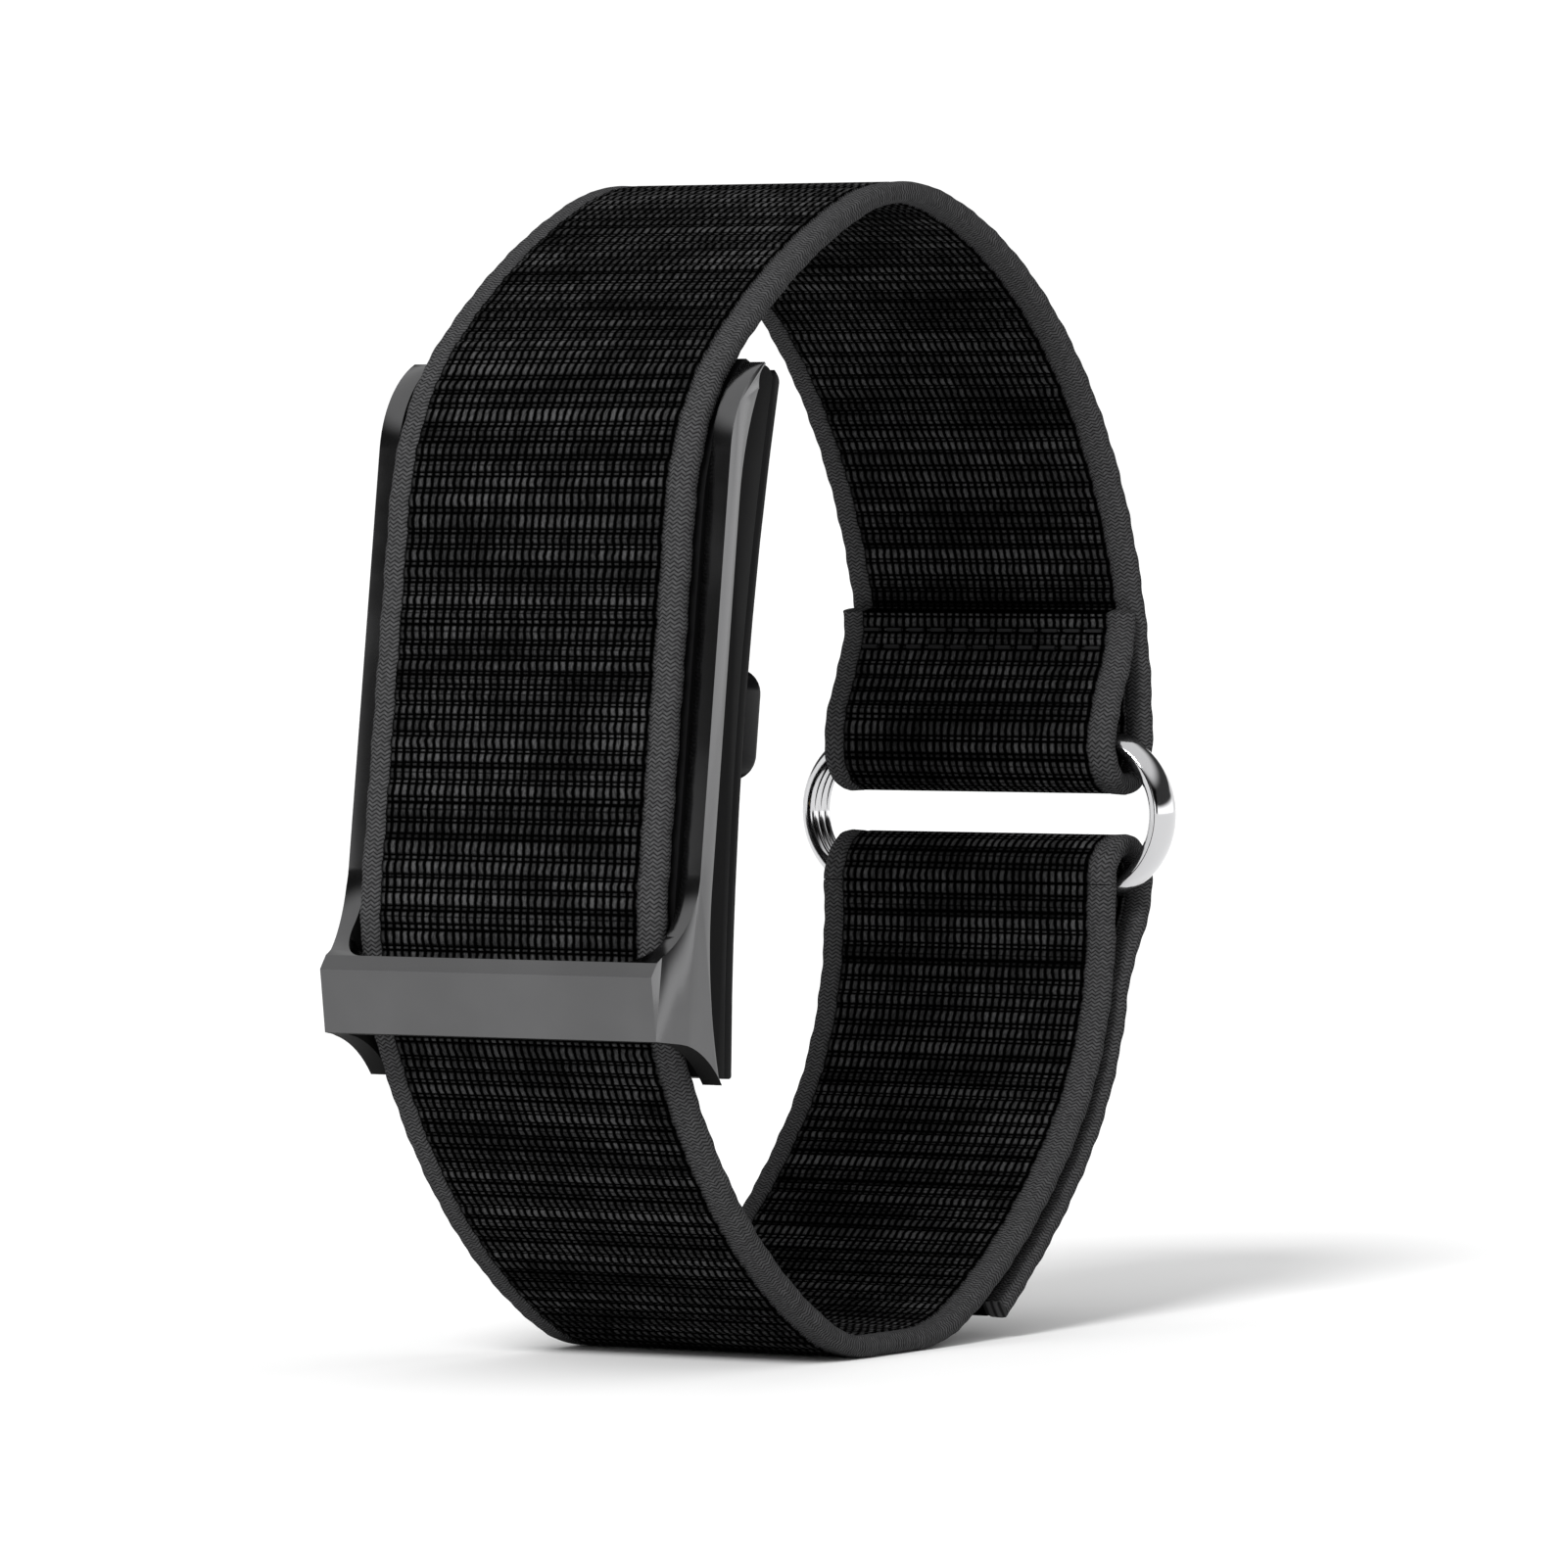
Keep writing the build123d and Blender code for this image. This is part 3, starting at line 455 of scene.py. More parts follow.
# ------------------------------------------------------------------ materials
def thread_cells(kit, across, row, twill_map):
    """Rows of rounded threads: their height, their tone with painted shade on their rounded sides
    and in the gaps between them, and the fibres along them.
    """
    # Columns stand at an even pitch and wander a little
    wander = kit.noise(kit.stretched(twill_map, WANDER_STRETCH), 1.0, 2)
    column = kit.math(
        "ADD", kit.math("DIVIDE", across, COLUMN_PITCH), kit.times(wander, COLUMN_WANDER)
    )
    column_part = kit.math("FRACT", column)
    row_part = kit.math("FRACT", row)
    row_number = kit.math("FLOOR", row)
    cell = kit.add("ShaderNodeCombineXYZ")
    kit.feed(cell.inputs[0], kit.math("FLOOR", column))
    kit.feed(cell.inputs[1], row_number)
    cell_luck = kit.dice("Vector", cell.outputs[0], "2D")
    row_luck = kit.dice("W", row_number, "1D")

    # Each column is a round thread, and each row has a tall cell and a thin one; the thread's
    # rounding and the gaps between cells go into the colour as painted shade
    lobe = kit.math("SINE", kit.times(column_part, pi))
    lobe = kit.math("POWER", kit.math("MAXIMUM", lobe, 0.001), THREAD_ROUNDNESS)
    lobe = kit.span(lobe, *THREAD_EDGE)
    tall_top = kit.scaled(row_luck, TALL_CELL_TOP)
    tall = kit.times(
        kit.span(row_part, 0.0, CELL_RIM),
        kit.span(kit.math("SUBTRACT", tall_top, row_part), 0.0, CELL_RIM),
    )
    # A third of the rows are pinched in the middle, as two threads one over the other, with
    # painted shade where they meet
    pinch = kit.span(kit.away_from(row_part, PINCH_AT), 0.0, PINCH_REACH, PINCH_SHADE, 1)
    whole = kit.math("GREATER_THAN", row_luck, PINCHED_BELOW)
    tall = kit.times(tall, kit.math("MAXIMUM", pinch, whole))
    thin = kit.span(kit.away_from(row_part, THIN_CELL_AT), *THIN_CELL_EDGE, 1, 0)
    row_dice = kit.math("FRACT", kit.times(row_luck, ROW_DICE))
    thin = kit.times(thin, kit.span(row_dice, *THIN_CELL_DICE, *THIN_CELL_TONE))
    cells = kit.times(lobe, kit.math("MAXIMUM", tall, thin))

    # Fibres run up each thread, and whole rows come out lighter or darker
    fibres = kit.noise(kit.stretched(twill_map, FIBRE_STRETCH), 1.0, 3)
    patches = kit.noise(kit.stretched(twill_map, PATCH_STRETCH), 1.0, 3)
    tone = kit.times(kit.scaled(row_luck, ROW_TONE), kit.scaled(cell_luck, CELL_TONE))
    tone = kit.times(tone, kit.span(fibres, *FIBRE_EDGE, *FIBRE_TONE))
    tone = kit.times(tone, kit.span(patches, *PATCH_EDGE, *PATCH_TONE))
    return cells, kit.times(cells, tone), fibres


def herringbone(kit, across, along, twill_map):
    """Slanting threads that turn at every rib of the chevron."""
    chevron = kit.math("PINGPONG", kit.math("ADD", across, CHEVRON_SHIFT), CHEVRON_WIDTH)
    slant = kit.math(
        "FRACT",
        kit.math("ADD", kit.math("DIVIDE", along, STRAND_PITCH), kit.times(chevron, STRAND_SLANT)),
    )
    strand = kit.math("SINE", kit.times(slant, pi))
    patches = kit.noise(twill_map, STRAND_PATCHES, 2)
    return kit.times(strand, kit.span(patches, *STRAND_PATCH_EDGE, STRAND_LEAST, 1))


def woven_material(strap):
    """Ribbed webbing: rows of rounded thread cells with painted shade on their sides and between
    them, and a herringbone selvedge.
    """
    material, kit, shader = new_material(
        "woven_webbing", Roughness=0.78, Specular_IOR_Level=0.0
    )
    weave = kit.add("ShaderNodeSeparateXYZ")
    kit.feed(weave.inputs[0], kit.add("ShaderNodeUVMap", uv_map="Weave").outputs[0])
    twill_map = kit.add("ShaderNodeUVMap", uv_map="Twill").outputs[0]
    twill = kit.add("ShaderNodeSeparateXYZ")
    kit.feed(twill.inputs[0], twill_map)
    across, row = weave.outputs[0], weave.outputs[1]
    cells, cell_shade_and_tone, fibres = thread_cells(kit, across, row, twill_map)
    strand = herringbone(kit, across, twill.outputs[1], twill_map)

    edge_from = strap.width / 2 / MM - strap.selvedge / MM
    distance = kit.math("ABSOLUTE", across)
    on_edge = kit.span(distance, *(edge_from + reach for reach in SELVEDGE_EDGE))
    beside = kit.span(
        distance, *(edge_from + reach for reach in BESIDE_SELVEDGE), 1, BESIDE_SELVEDGE_TONE
    )
    cell_shade_and_tone = kit.times(cell_shade_and_tone, beside)

    # The strap's colour: painted shade in the gaps and on the threads' sides, thread colour on
    # their middles, varied by a random tone
    woven = kit.mix(cell_shade_and_tone, colour4(strap.gap_shade), colour4(strap.thread))
    low_twill = tuple(part * TWILL_SHADE for part in strap.twill)
    edged = kit.mix(strand, colour4(low_twill), colour4(strap.twill))
    kit.feed(shader.inputs["Base Color"], kit.mix(on_edge, woven, edged))

    height = kit.add("ShaderNodeMix", data_type="FLOAT")
    kit.feed(height.inputs[0], on_edge)
    kit.feed(height.inputs[2], kit.math("ADD", cells, kit.times(fibres, FIBRE_RELIEF)))
    kit.feed(height.inputs[3], kit.times(strand, STRAND_RELIEF))
    raised = kit.add("ShaderNodeBump")
    raised.inputs["Strength"].default_value = WEAVE_BUMP
    raised.inputs["Distance"].default_value = WEAVE_RELIEF
    kit.feed(raised.inputs["Height"], height.outputs[0])
    kit.feed(shader.inputs["Normal"], raised.outputs[0])
    return material


# Things made once and used by several operators
SHOP = {}


def finishes(settings):
    """Every material of the object by name, made once."""
    if "finishes" not in SHOP:
        metal, pod = settings.metal, settings.pod
        SHOP["finishes"] = {
            "webbing": woven_material(settings.strap),
            "coating": grained(
                "dark_coating", metal.coating, metal.coating_roughness, 0.05, bump=0.012,
                tint=0.05, Metallic=1.0,
            ),
            # Painted shade: near-black for the clasp's faces that face inwards or down
            "painted_shade": grained("clasp_painted_shade", (0.006, 0.006, 0.006), 0.6, 0.1, bump=0.1,
                              Specular_IOR_Level=0.05),
            "steel": grained("polished_steel", metal.steel, 0.07, 0.05, bump=0.01, tint=0.03,
                             Metallic=1.0),
            "spring": grained("spring_steel", (0.45, 0.45, 0.46), 0.25, 0.1, Metallic=1.0),
            "shell": grained("pod_shell", pod.shell, 0.42, 0.08, bump=0.05,
                             Specular_IOR_Level=0.025),
            "window": grained("sensor_window", pod.window, 0.2, 0.05, bump=0.01,
                              Specular_IOR_Level=0.05),
            "thread": grained("sewing_thread", (0.009, 0.009, 0.0095), 0.7, 0.1,
                              grain_scale=9000, bump=0.4, Specular_IOR_Level=0.15),
            "hooks": grained("hook_tape", (0.008, 0.008, 0.008), 0.55, 0.15,
                             grain_scale=2500, bump=0.6, Specular_IOR_Level=0.2),
            "rubber": grained("seal_rubber", (0.012, 0.012, 0.012), 0.6, 0.1, bump=0.1),
            "board": grained("circuit_board", (0.008, 0.05, 0.02), 0.35, 0.1, bump=0.05),
            "chip": grained("moulded_chip", (0.012, 0.012, 0.013), 0.45, 0.1, bump=0.1),
            "tin": grained("tin_plate", (0.5, 0.5, 0.48), 0.3, 0.1, Metallic=1.0),
            "foil": grained("cell_foil", (0.55, 0.55, 0.57), 0.28, 0.12, bump=0.1,
                            Metallic=1.0),
            "gold": grained("gold_plate", (0.8, 0.58, 0.24), 0.16, 0.08, Metallic=1.0),
            "resin": grained("clear_resin", (0.6, 0.62, 0.6), 0.12, 0.05),
            "film": grained("copper_film", (0.4, 0.17, 0.04), 0.3, 0.1, bump=0.05),
        }
    return SHOP["finishes"]


# -------------------------------------------------------------- mesh helpers
def settle(name, bm, material, body, nodes=(), smooth_below=30):
    """Turn a bmesh into a finished piece that rides on a body."""
    mesh = bpy.data.meshes.new(name)
    bm.to_mesh(mesh)
    bm.free()
    mesh.materials.append(material)
    mesh.shade_smooth()
    mesh.set_sharp_from_angle(angle=radians(smooth_below))
    piece = bpy.data.objects.new(name, mesh)
    bpy.context.scene.collection.objects.link(piece)
    if body:
        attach(piece, body)
    if nodes:
        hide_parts(*nodes)
    return piece


class Course:
    """A line in the loop's side plane, laid from straight runs, arcs and soft bends."""

    def __init__(self, y, z, heading):
        self.points = [Vector((y, z))]
        self.heading = radians(heading)

    def direction(self):
        return Vector((cos(self.heading), sin(self.heading)))

    def run(self, length):
        steps = max(2, int(length / COURSE_STEP))
        start = self.points[-1].copy()
        for step in range(1, steps + 1):
            self.points.append(start + self.direction() * length * step / steps)

    def arc(self, radius, sweep):
        """Turn left by a positive sweep and right by a negative one."""
        side = 1 if sweep > 0 else -1
        ahead = self.direction()
        centre = self.points[-1] + Vector((-ahead.y, ahead.x)) * radius * side
        spoke = self.points[-1] - centre
        steps = max(4, int(abs(radians(sweep)) * radius / COURSE_STEP))
        for step in range(1, steps + 1):
            turned = spoke.copy()
            turned.rotate(Matrix.Rotation(radians(sweep) * step / steps, 2))
            self.points.append(centre + turned)
        self.heading += radians(sweep)

    def bend(self, end, heading):
        """A soft bend that arrives at a point with a heading in degrees."""
        start = self.points[-1]
        reach = (end - start).length / 3
        arrival = Vector((cos(radians(heading)), sin(radians(heading))))
        knots = [start, start + self.direction() * reach, end - arrival * reach, end]
        curve = interpolate_bezier(*[k.to_3d() for k in knots], BEND_POINTS)
        self.points.extend(point.to_2d() for point in curve[1:])
        self.heading = radians(heading)


class Rail:
    """Reads a course by the length along it."""

    def __init__(self, points):
        self.points = points
        self.lengths = [0.0]
        for first, second in zip(points, points[1:]):
            self.lengths.append(self.lengths[-1] + (second - first).length)
        self.length = self.lengths[-1]
        self.at = 0

    def place(self, distance):
        """The point at a distance, and the direction that faces left of travel."""
        while self.at < len(self.points) - 2 and self.lengths[self.at + 1] < distance:
            self.at += 1
        while self.at > 0 and self.lengths[self.at] > distance:
            self.at -= 1
        first, second = self.points[self.at], self.points[self.at + 1]
        span = self.lengths[self.at + 1] - self.lengths[self.at]
        part = (distance - self.lengths[self.at]) / span
        before = self.points[max(0, self.at - 2)]
        after = self.points[min(len(self.points) - 1, self.at + 3)]
        along = (after - before).normalized()
        return first.lerp(second, part), Vector((-along.y, along.x))


def ring_middle():
    low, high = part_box("ring")
    return (low[1] + high[1]) / 2 / MM, (low[2] + high[2]) / 2 / MM


def lower_fold_height():
    return ring_middle()[1] - FOLD_REACH


def strap_courses():
    """The rails of the closed loop with its flap, and of the lower fold with the tail."""
    ring_y, ring_z = ring_middle()
    upper, lower = ring_z + FOLD_REACH, lower_fold_height()
    rear = Course(FLAT_RUN / 2, MIDDLE_LINE, 0)
    for radius, sweep in REAR_ARCS:
        rear.arc(radius, sweep)
    last_radius = (ring_y - FOLD_RADIUS - rear.points[-1].x) / (1 - sin(rear.heading))
    rear.arc(last_radius, LAST_REAR_SWEEP)
    last_centre = Vector((ring_y - FOLD_RADIUS - last_radius, rear.points[-1].y))
    rear.run(lower - rear.points[-1].y)

    front = Course(FLAT_RUN / 2, MIDDLE_LINE, 180)
    front.run(FLAT_RUN)
    for radius, sweep in FRONT_ARCS:
        front.arc(radius, -sweep)
    front.run(FRONT_RUN)
    for radius, sweep in TOP_ARCS:
        front.arc(radius, -sweep)
    front.arc(FOLD_RADIUS, -180)
    flap_radius = TOP_ARCS[-1][0] - FLAP_OFFSET
    reach = sqrt(flap_radius**2 - FLAP_RISE**2)
    centre_y = ring_y + FOLD_RADIUS - TOP_ARCS[-1][0]
    flap_end = Vector((centre_y + reach, upper + FLAP_RISE))
    slope = Vector((-FLAP_RISE, reach))
    front.bend(flap_end, 180 / pi * Vector((1, 0)).angle(slope))

    tail = Course(ring_y - FOLD_RADIUS, lower, 90)
    tail.arc(FOLD_RADIUS, -180)
    tail_radius = last_radius + TAIL_OFFSET
    join = radians(TAIL_JOIN)
    tail.bend(last_centre + Vector((cos(join), -sin(join))) * tail_radius, -90 - TAIL_JOIN)
    tail.arc(tail_radius, TAIL_JOIN - LAST_REAR_SWEEP)
    tail.arc(REAR_ARCS[1][0] + TAIL_OFFSET, -TAIL_LAST_SWEEP)
    tail.run(TAIL_TIP_RUN)
    return Rail(rear.points[::-1] + front.points[1:]), Rail(tail.points)


def strap_section(strap):
    """Points round the webbing's section: across, outwards, and distance from the middle."""
    half = strap.width / 2 / MM
    inner = half - strap.selvedge / MM
    edge = [(inner + out, FACE_HEIGHT + over) for out, over in GROOVE]
    edge += [(half - inside, height) for inside, height in ROLL]
    flat = [
        (-inner + 2 * inner * i / FACE_COLUMNS, FACE_HEIGHT) for i in range(FACE_COLUMNS + 1)
    ]
    outline = [(-x, n) for x, n in reversed(edge)] + flat + edge
    under = [(x, -n) for x, n in reversed(outline[1:-1])]
    roll_from = half - ROLL_WIDTH
    marked = []
    for x, n in outline + under:
        reach = abs(x)
        if reach > roll_from:
            reach = roll_from + sqrt((reach - roll_from) ** 2 + (ROLL_HEIGHT - abs(n)) ** 2)
        marked.append((x, n, reach if x > 0 else -reach))
    return marked, inner


def ring_profile(depth, wall):
    """The ring's section from its middle line: a domed outside and three ribs inside."""
    outline = []
    for step in range(DOME_STEPS + 1):
        turn = pi * step / DOME_STEPS
        outline.append((-depth / 2 * cos(turn), wall * (0.5 * sin(turn))))
    rib_half = depth * INNER_RIB_SHARE / INNER_RIBS
    for rib in range(INNER_RIBS):
        centre = rib_half * (INNER_RIBS - 1 - 2 * rib)
        for step in range(INNER_RIB_STEPS + 1):
            turn = pi * step / INNER_RIB_STEPS
            depth_in = INNER_RIB_BASE + INNER_RIB_RISE * sin(turn)
            outline.append((centre + rib_half * INNER_RIB_FILL * cos(turn), -wall * depth_in))
    return outline


def woven_length(rail, strap, rows, wave_seed):
    """Webbing along a rail: ribbed faces, rolled selvedges and two cut ends."""
    section, inner = strap_section(strap)
    around = len(section)
    scale = rail.length / rows[-1]
    rings = []
    for number, (start, end) in enumerate(zip(rows, rows[1:])):
        for part, lift in RIB_LIFTS:
            rings.append(((start + (end - start) * part) * scale, number + part, lift))
    rings.append((rail.length, len(rows) - 1, 0.0))
    bm = bmesh.new()
    weave = bm.loops.layers.uv.new("Weave")
    twill = bm.loops.layers.uv.new("Twill")
    bmesh.ops.create_grid(bm, x_segments=around, y_segments=len(rings) - 1, size=0.5)
    marks = {}
    dice = random.Random(wave_seed)
    lifts = [RIB_LIFT_LEAST + RIB_LIFT_SPREAD * dice.random() for _ in rows]
    for vert in bm.verts:
        spot = round((vert.co.x + 0.5) * around) % around
        ring = round((vert.co.y + 0.5) * (len(rings) - 1))
        x, n, reach = section[spot]
        distance, row, lift = rings[ring]
        point, outward = rail.place(distance)
        if abs(x) <= inner + 0.01:
            rise = RIB_HEIGHT * lift * lifts[min(int(row), len(lifts) - 1)] - RIB_SINK
            n += rise if n > 0 else -rise
        waver = LONG_WAVER[0] * sin(distance * LONG_WAVER[1] + wave_seed)
        waver += SHORT_WAVER[0] * sin(distance * SHORT_WAVER[1])
        x += waver * x / WAVER_AT
        place = point + outward * n
        marks[vert.index] = (reach, row, distance)
        vert.co = Vector((x, place.x, place.y)) * MM
    for face in bm.faces:
        for loop in face.loops:
            reach, row, distance = marks[loop.vert.index]
            loop[weave].uv = (reach, row)
            loop[twill].uv = (reach, distance)
    bmesh.ops.remove_doubles(bm, verts=bm.verts, dist=1e-6)
    ends = [edge for edge in bm.edges if edge.is_boundary]
    bmesh.ops.holes_fill(bm, edges=ends, sides=0)
    caps = [face for face in bm.faces if len(face.verts) > 4]
    for cap in caps:
        for loop in cap.loops:
            other = next(o for o in loop.vert.link_loops if o.face is not cap)
            loop[weave].uv = other[weave].uv
            loop[twill].uv = other[twill].uv
    bmesh.ops.recalc_face_normals(bm, faces=bm.faces)
    return bm


def uneven_rows(length, spacing, seed):
    """Row starts along the webbing, unevenly spaced as in a slubbed weave."""
    dice = random.Random(seed)
    rows = [0.0]
    while rows[-1] < length:
        rows.append(rows[-1] + spacing * dice.choice(ROW_SHARES))
    return rows


def welded_copy(node):
    """A bmesh copy of a CAD node with its triangles joined up into faces."""
    bm = bmesh.new()
    bm.from_mesh(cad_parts[node].data)
    bmesh.ops.remove_doubles(bm, verts=bm.verts, dist=1.5e-6)
    bmesh.ops.dissolve_limit(
        bm, angle_limit=radians(0.6), verts=bm.verts, edges=bm.edges, delimit=set()
    )
    return bm


def round_edges(bm, edges, radius, segments=3):
    bmesh.ops.bevel(
        bm,
        geom=edges,
        offset=radius,
        offset_type="OFFSET",
        segments=segments,
        profile=0.5,
        affect="EDGES",
        clamp_overlap=True,
        material=-1,
    )


def sharp_edges(bm, above=30):
    return [
        edge for edge in bm.edges if edge.is_manifold and edge.calc_face_angle() > radians(above)
    ]


def softened(node, name, material, body, radius):
    """A CAD node's shape with rounded edges, in place of the node."""
    bm = welded_copy(node)
    round_edges(bm, sharp_edges(bm), radius)
    return settle(name, bm, material, body, (node,))


def dress(material, *nodes):
    """Give CAD nodes a finish."""
    for node in nodes:
        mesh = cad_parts[node].data
        mesh.materials.clear()
        mesh.materials.append(material)


# ------------------------------------------------------------------ operators
class STRAP_OT_loop(bpy.types.Operator):
    """Weave the closed loop with its sewn flap"""

    bl_idname = "tracker_band.strap_loop"
    bl_label = "Strap loop"
    bl_options = {"REGISTER", "UNDO"}

    def execute(self, context):
        settings = context.scene.tracker_band
        strap = settings.strap
        rail, _ = strap_courses()
        rows = uneven_rows(rail.length, strap.rib_spacing / MM, strap.seed)
        bm = woven_length(rail, strap, rows, 1)
        settle("strap_loop", bm, finishes(settings)["webbing"], "band",
               ("strap_band", "upper_fold_flap"), 60)
        return {"FINISHED"}


class STRAP_OT_tail(bpy.types.Operator):
    """Weave the lower fold and the loose tail, which peels open"""

    bl_idname = "tracker_band.strap_tail"
    bl_label = "Strap tail"
    bl_options = {"REGISTER", "UNDO"}

    def execute(self, context):
        settings = context.scene.tracker_band
        strap = settings.strap
        _, rail = strap_courses()
        rows = uneven_rows(rail.length, strap.rib_spacing / MM, strap.seed + 5)
        bm = woven_length(rail, strap, rows, 2)
        piece = settle("strap_tail_woven", bm, finishes(settings)["webbing"], None,
                       ("lower_fold", "strap_tail"), 60)
        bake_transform(piece)
        return {"FINISHED"}


class STRAP_OT_sewing(bpy.types.Operator):
    """Finish the rows of thread and the hook tape"""

    bl_idname = "tracker_band.sewing"
    bl_label = "Sewing and hook tape"
    bl_options = {"REGISTER", "UNDO"}

    def execute(self, context):
        settings = context.scene.tracker_band
        made = finishes(settings)
        dress(made["thread"], "flap_stitches", "tail_stitches")
        dress(made["hooks"], "hook_patch")
        return {"FINISHED"}


class CLASP_OT_frame(bpy.types.Operator):
    """Round the clasp's edges, give it its dark coating, and paint its inward and downward faces
    near-black as shade
    """

    bl_idname = "tracker_band.clasp"
    bl_label = "Clasp frame"
    bl_options = {"REGISTER", "UNDO"}

    def execute(self, context):
        settings = context.scene.tracker_band
        metal = settings.metal
        bm = welded_copy("clasp_frame")
        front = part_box("clasp_frame")[0][1]
        corners = [
            edge
            for edge in sharp_edges(bm, 15)
            if all(abs(v.co.x) > CORNER_OUTSIDE * MM for v in edge.verts)
            and all(v.co.y < front + CORNER_DEPTH * MM for v in edge.verts)
            and abs(edge.verts[0].co.z - edge.verts[1].co.z) > CORNER_HEIGHT * MM
        ]
        round_edges(bm, corners, metal.bar_corner, 5)
        round_edges(bm, sharp_edges(bm, 24), metal.clasp_edge)
        made = finishes(settings)
        piece = settle("clasp_shell", bm, made["coating"], "clasp", ("clasp_frame",))
        piece.data.materials.append(made["painted_shade"])
        # Faces that face inwards or down get the near-black painted shade
        for face in piece.data.polygons:
            sideways = abs(face.normal.x) > FACES_INWARDS
            inwards = sideways and face.normal.x * face.center.x < 0
            if inwards or face.normal.z < FACES_DOWN:
                face.material_index = 1
        return {"FINISHED"}


class CLASP_OT_spring_bar(bpy.types.Operator):
    """Finish the spring bar and the catch springs"""

    bl_idname = "tracker_band.spring_bar"
    bl_label = "Spring bar and catches"
    bl_options = {"REGISTER", "UNDO"}

    def execute(self, context):
        settings = context.scene.tracker_band
        spring = finishes(settings)["spring"]
        dress(spring, "bar_tube", "bar_tip_left", "bar_tip_right", "catch_spring_left",
              "catch_spring_right", "board_screws")
        # The spring is cut at its middle, so that each half shortens as its tip presses in
        low, high = (Vector(corner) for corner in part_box("bar_spring"))
        middle = (low + high) / 2
        for side in ("left", "right"):
            tip_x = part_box(f"bar_tip_{side}")[0][0]
            end = middle.copy()
            end.x = low.x if tip_x < middle.x else high.x
            bm = bmesh.new()
            bm.from_mesh(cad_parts["bar_spring"].data)
            bmesh.ops.remove_doubles(bm, verts=bm.verts, dist=1e-6)
            bmesh.ops.bisect_plane(
                bm, geom=list(bm.verts) + list(bm.edges) + list(bm.faces), plane_co=middle,
                plane_no=end - middle, clear_inner=True,
            )
            rims = [edge for edge in bm.edges if edge.is_boundary]
            bmesh.ops.holes_fill(bm, edges=rims, sides=0)
            piece = settle(f"bar_spring_{side}", bm, spring, None, ("bar_spring",))
            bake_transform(piece)
        return {"FINISHED"}


class POD_OT_shell(bpy.types.Operator):
    """Round the pod's shell and give it its satin black"""

    bl_idname = "tracker_band.pod_shell"
    bl_label = "Pod shell"
    bl_options = {"REGISTER", "UNDO"}

    def execute(self, context):
        settings = context.scene.tracker_band
        made = finishes(settings)
        for node in ("front_cover", "mid_frame", "back_cover"):
            softened(node, f"{node}_shell", made["shell"], "band", settings.pod.edge)
        return {"FINISHED"}


class POD_OT_window(bpy.types.Operator):
    """Round the sensor window and give it its dark gloss"""

    bl_idname = "tracker_band.sensor_window"
    bl_label = "Sensor window"
    bl_options = {"REGISTER", "UNDO"}

    def execute(self, context):
        settings = context.scene.tracker_band
        made = finishes(settings)
        softened("sensor_window", "sensor_lens", made["window"], "band", settings.pod.edge)
        dress(made["gold"], "charging_contacts")
        return {"FINISHED"}


class POD_OT_inside(bpy.types.Operator):
    """Finish the parts inside the pod"""

    bl_idname = "tracker_band.pod_inside"
    bl_label = "Inside the pod"
    bl_options = {"REGISTER", "UNDO"}

    def execute(self, context):
        settings = context.scene.tracker_band
        made = finishes(settings)
        dress(made["rubber"], "back_gasket", "battery_foam", "motor_pad", "light_barrier")
        dress(made["board"], "main_board", "sensor_board")
        dress(made["chip"], "processor_chip", "motion_sensor", "photodiodes", "antenna")
        dress(made["tin"], "shield_can", "vibration_motor")
        dress(made["foil"], "battery_cell")
        dress(made["resin"], "green_leds", "red_led", "infrared_led")
        dress(made["film"], "flex_ribbon")
        return {"FINISHED"}


class RING_OT_ring(bpy.types.Operator):
    """Bend the polished steel ring"""

    bl_idname = "tracker_band.ring"
    bl_label = "Ring"
    bl_options = {"REGISTER", "UNDO"}

    def execute(self, context):
        settings = context.scene.tracker_band
        low, high = (Vector(corner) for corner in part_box("ring"))
        middle = (low + high) / 2
        outer = (high.z - low.z) / 2
        wall = RING_WALL * MM
        depth = high.y - low.y
        end_x = high.x - outer
        bm = bmesh.new()
        bm.faces.new(
            bm.verts.new((end_x, middle.y + y, middle.z + outer - wall / 2 + z))
            for y, z in ring_profile(depth, wall)
        )
        bmesh.ops.delete(bm, geom=list(bm.faces), context="FACES_ONLY")
        loop = list(bm.edges) + list(bm.verts)
        for side in (1, -1):
            spun = bmesh.ops.spin(
                bm, geom=loop, cent=(side * end_x, middle.y, middle.z), axis=(0, 1, 0),
                angle=pi, steps=RING_TURN_STEPS, use_duplicate=False, use_merge=False,
            )
            last = spun["geom_last"]
            extruded = bmesh.ops.extrude_edge_only(
                bm, edges=[part for part in last if isinstance(part, bmesh.types.BMEdge)]
            )["geom"]
            ends = [part for part in extruded if isinstance(part, bmesh.types.BMVert)]
            bmesh.ops.translate(bm, vec=(-side * 2 * end_x, 0, 0), verts=ends)
            loop = [part for part in extruded if isinstance(part, bmesh.types.BMEdge)] + ends
        bmesh.ops.remove_doubles(bm, verts=bm.verts, dist=2e-6)
        bmesh.ops.recalc_face_normals(bm, faces=bm.faces)
        settle("ring_polished", bm, finishes(settings)["steel"], "ring", ("ring",),
               50)
        return {"FINISHED"}


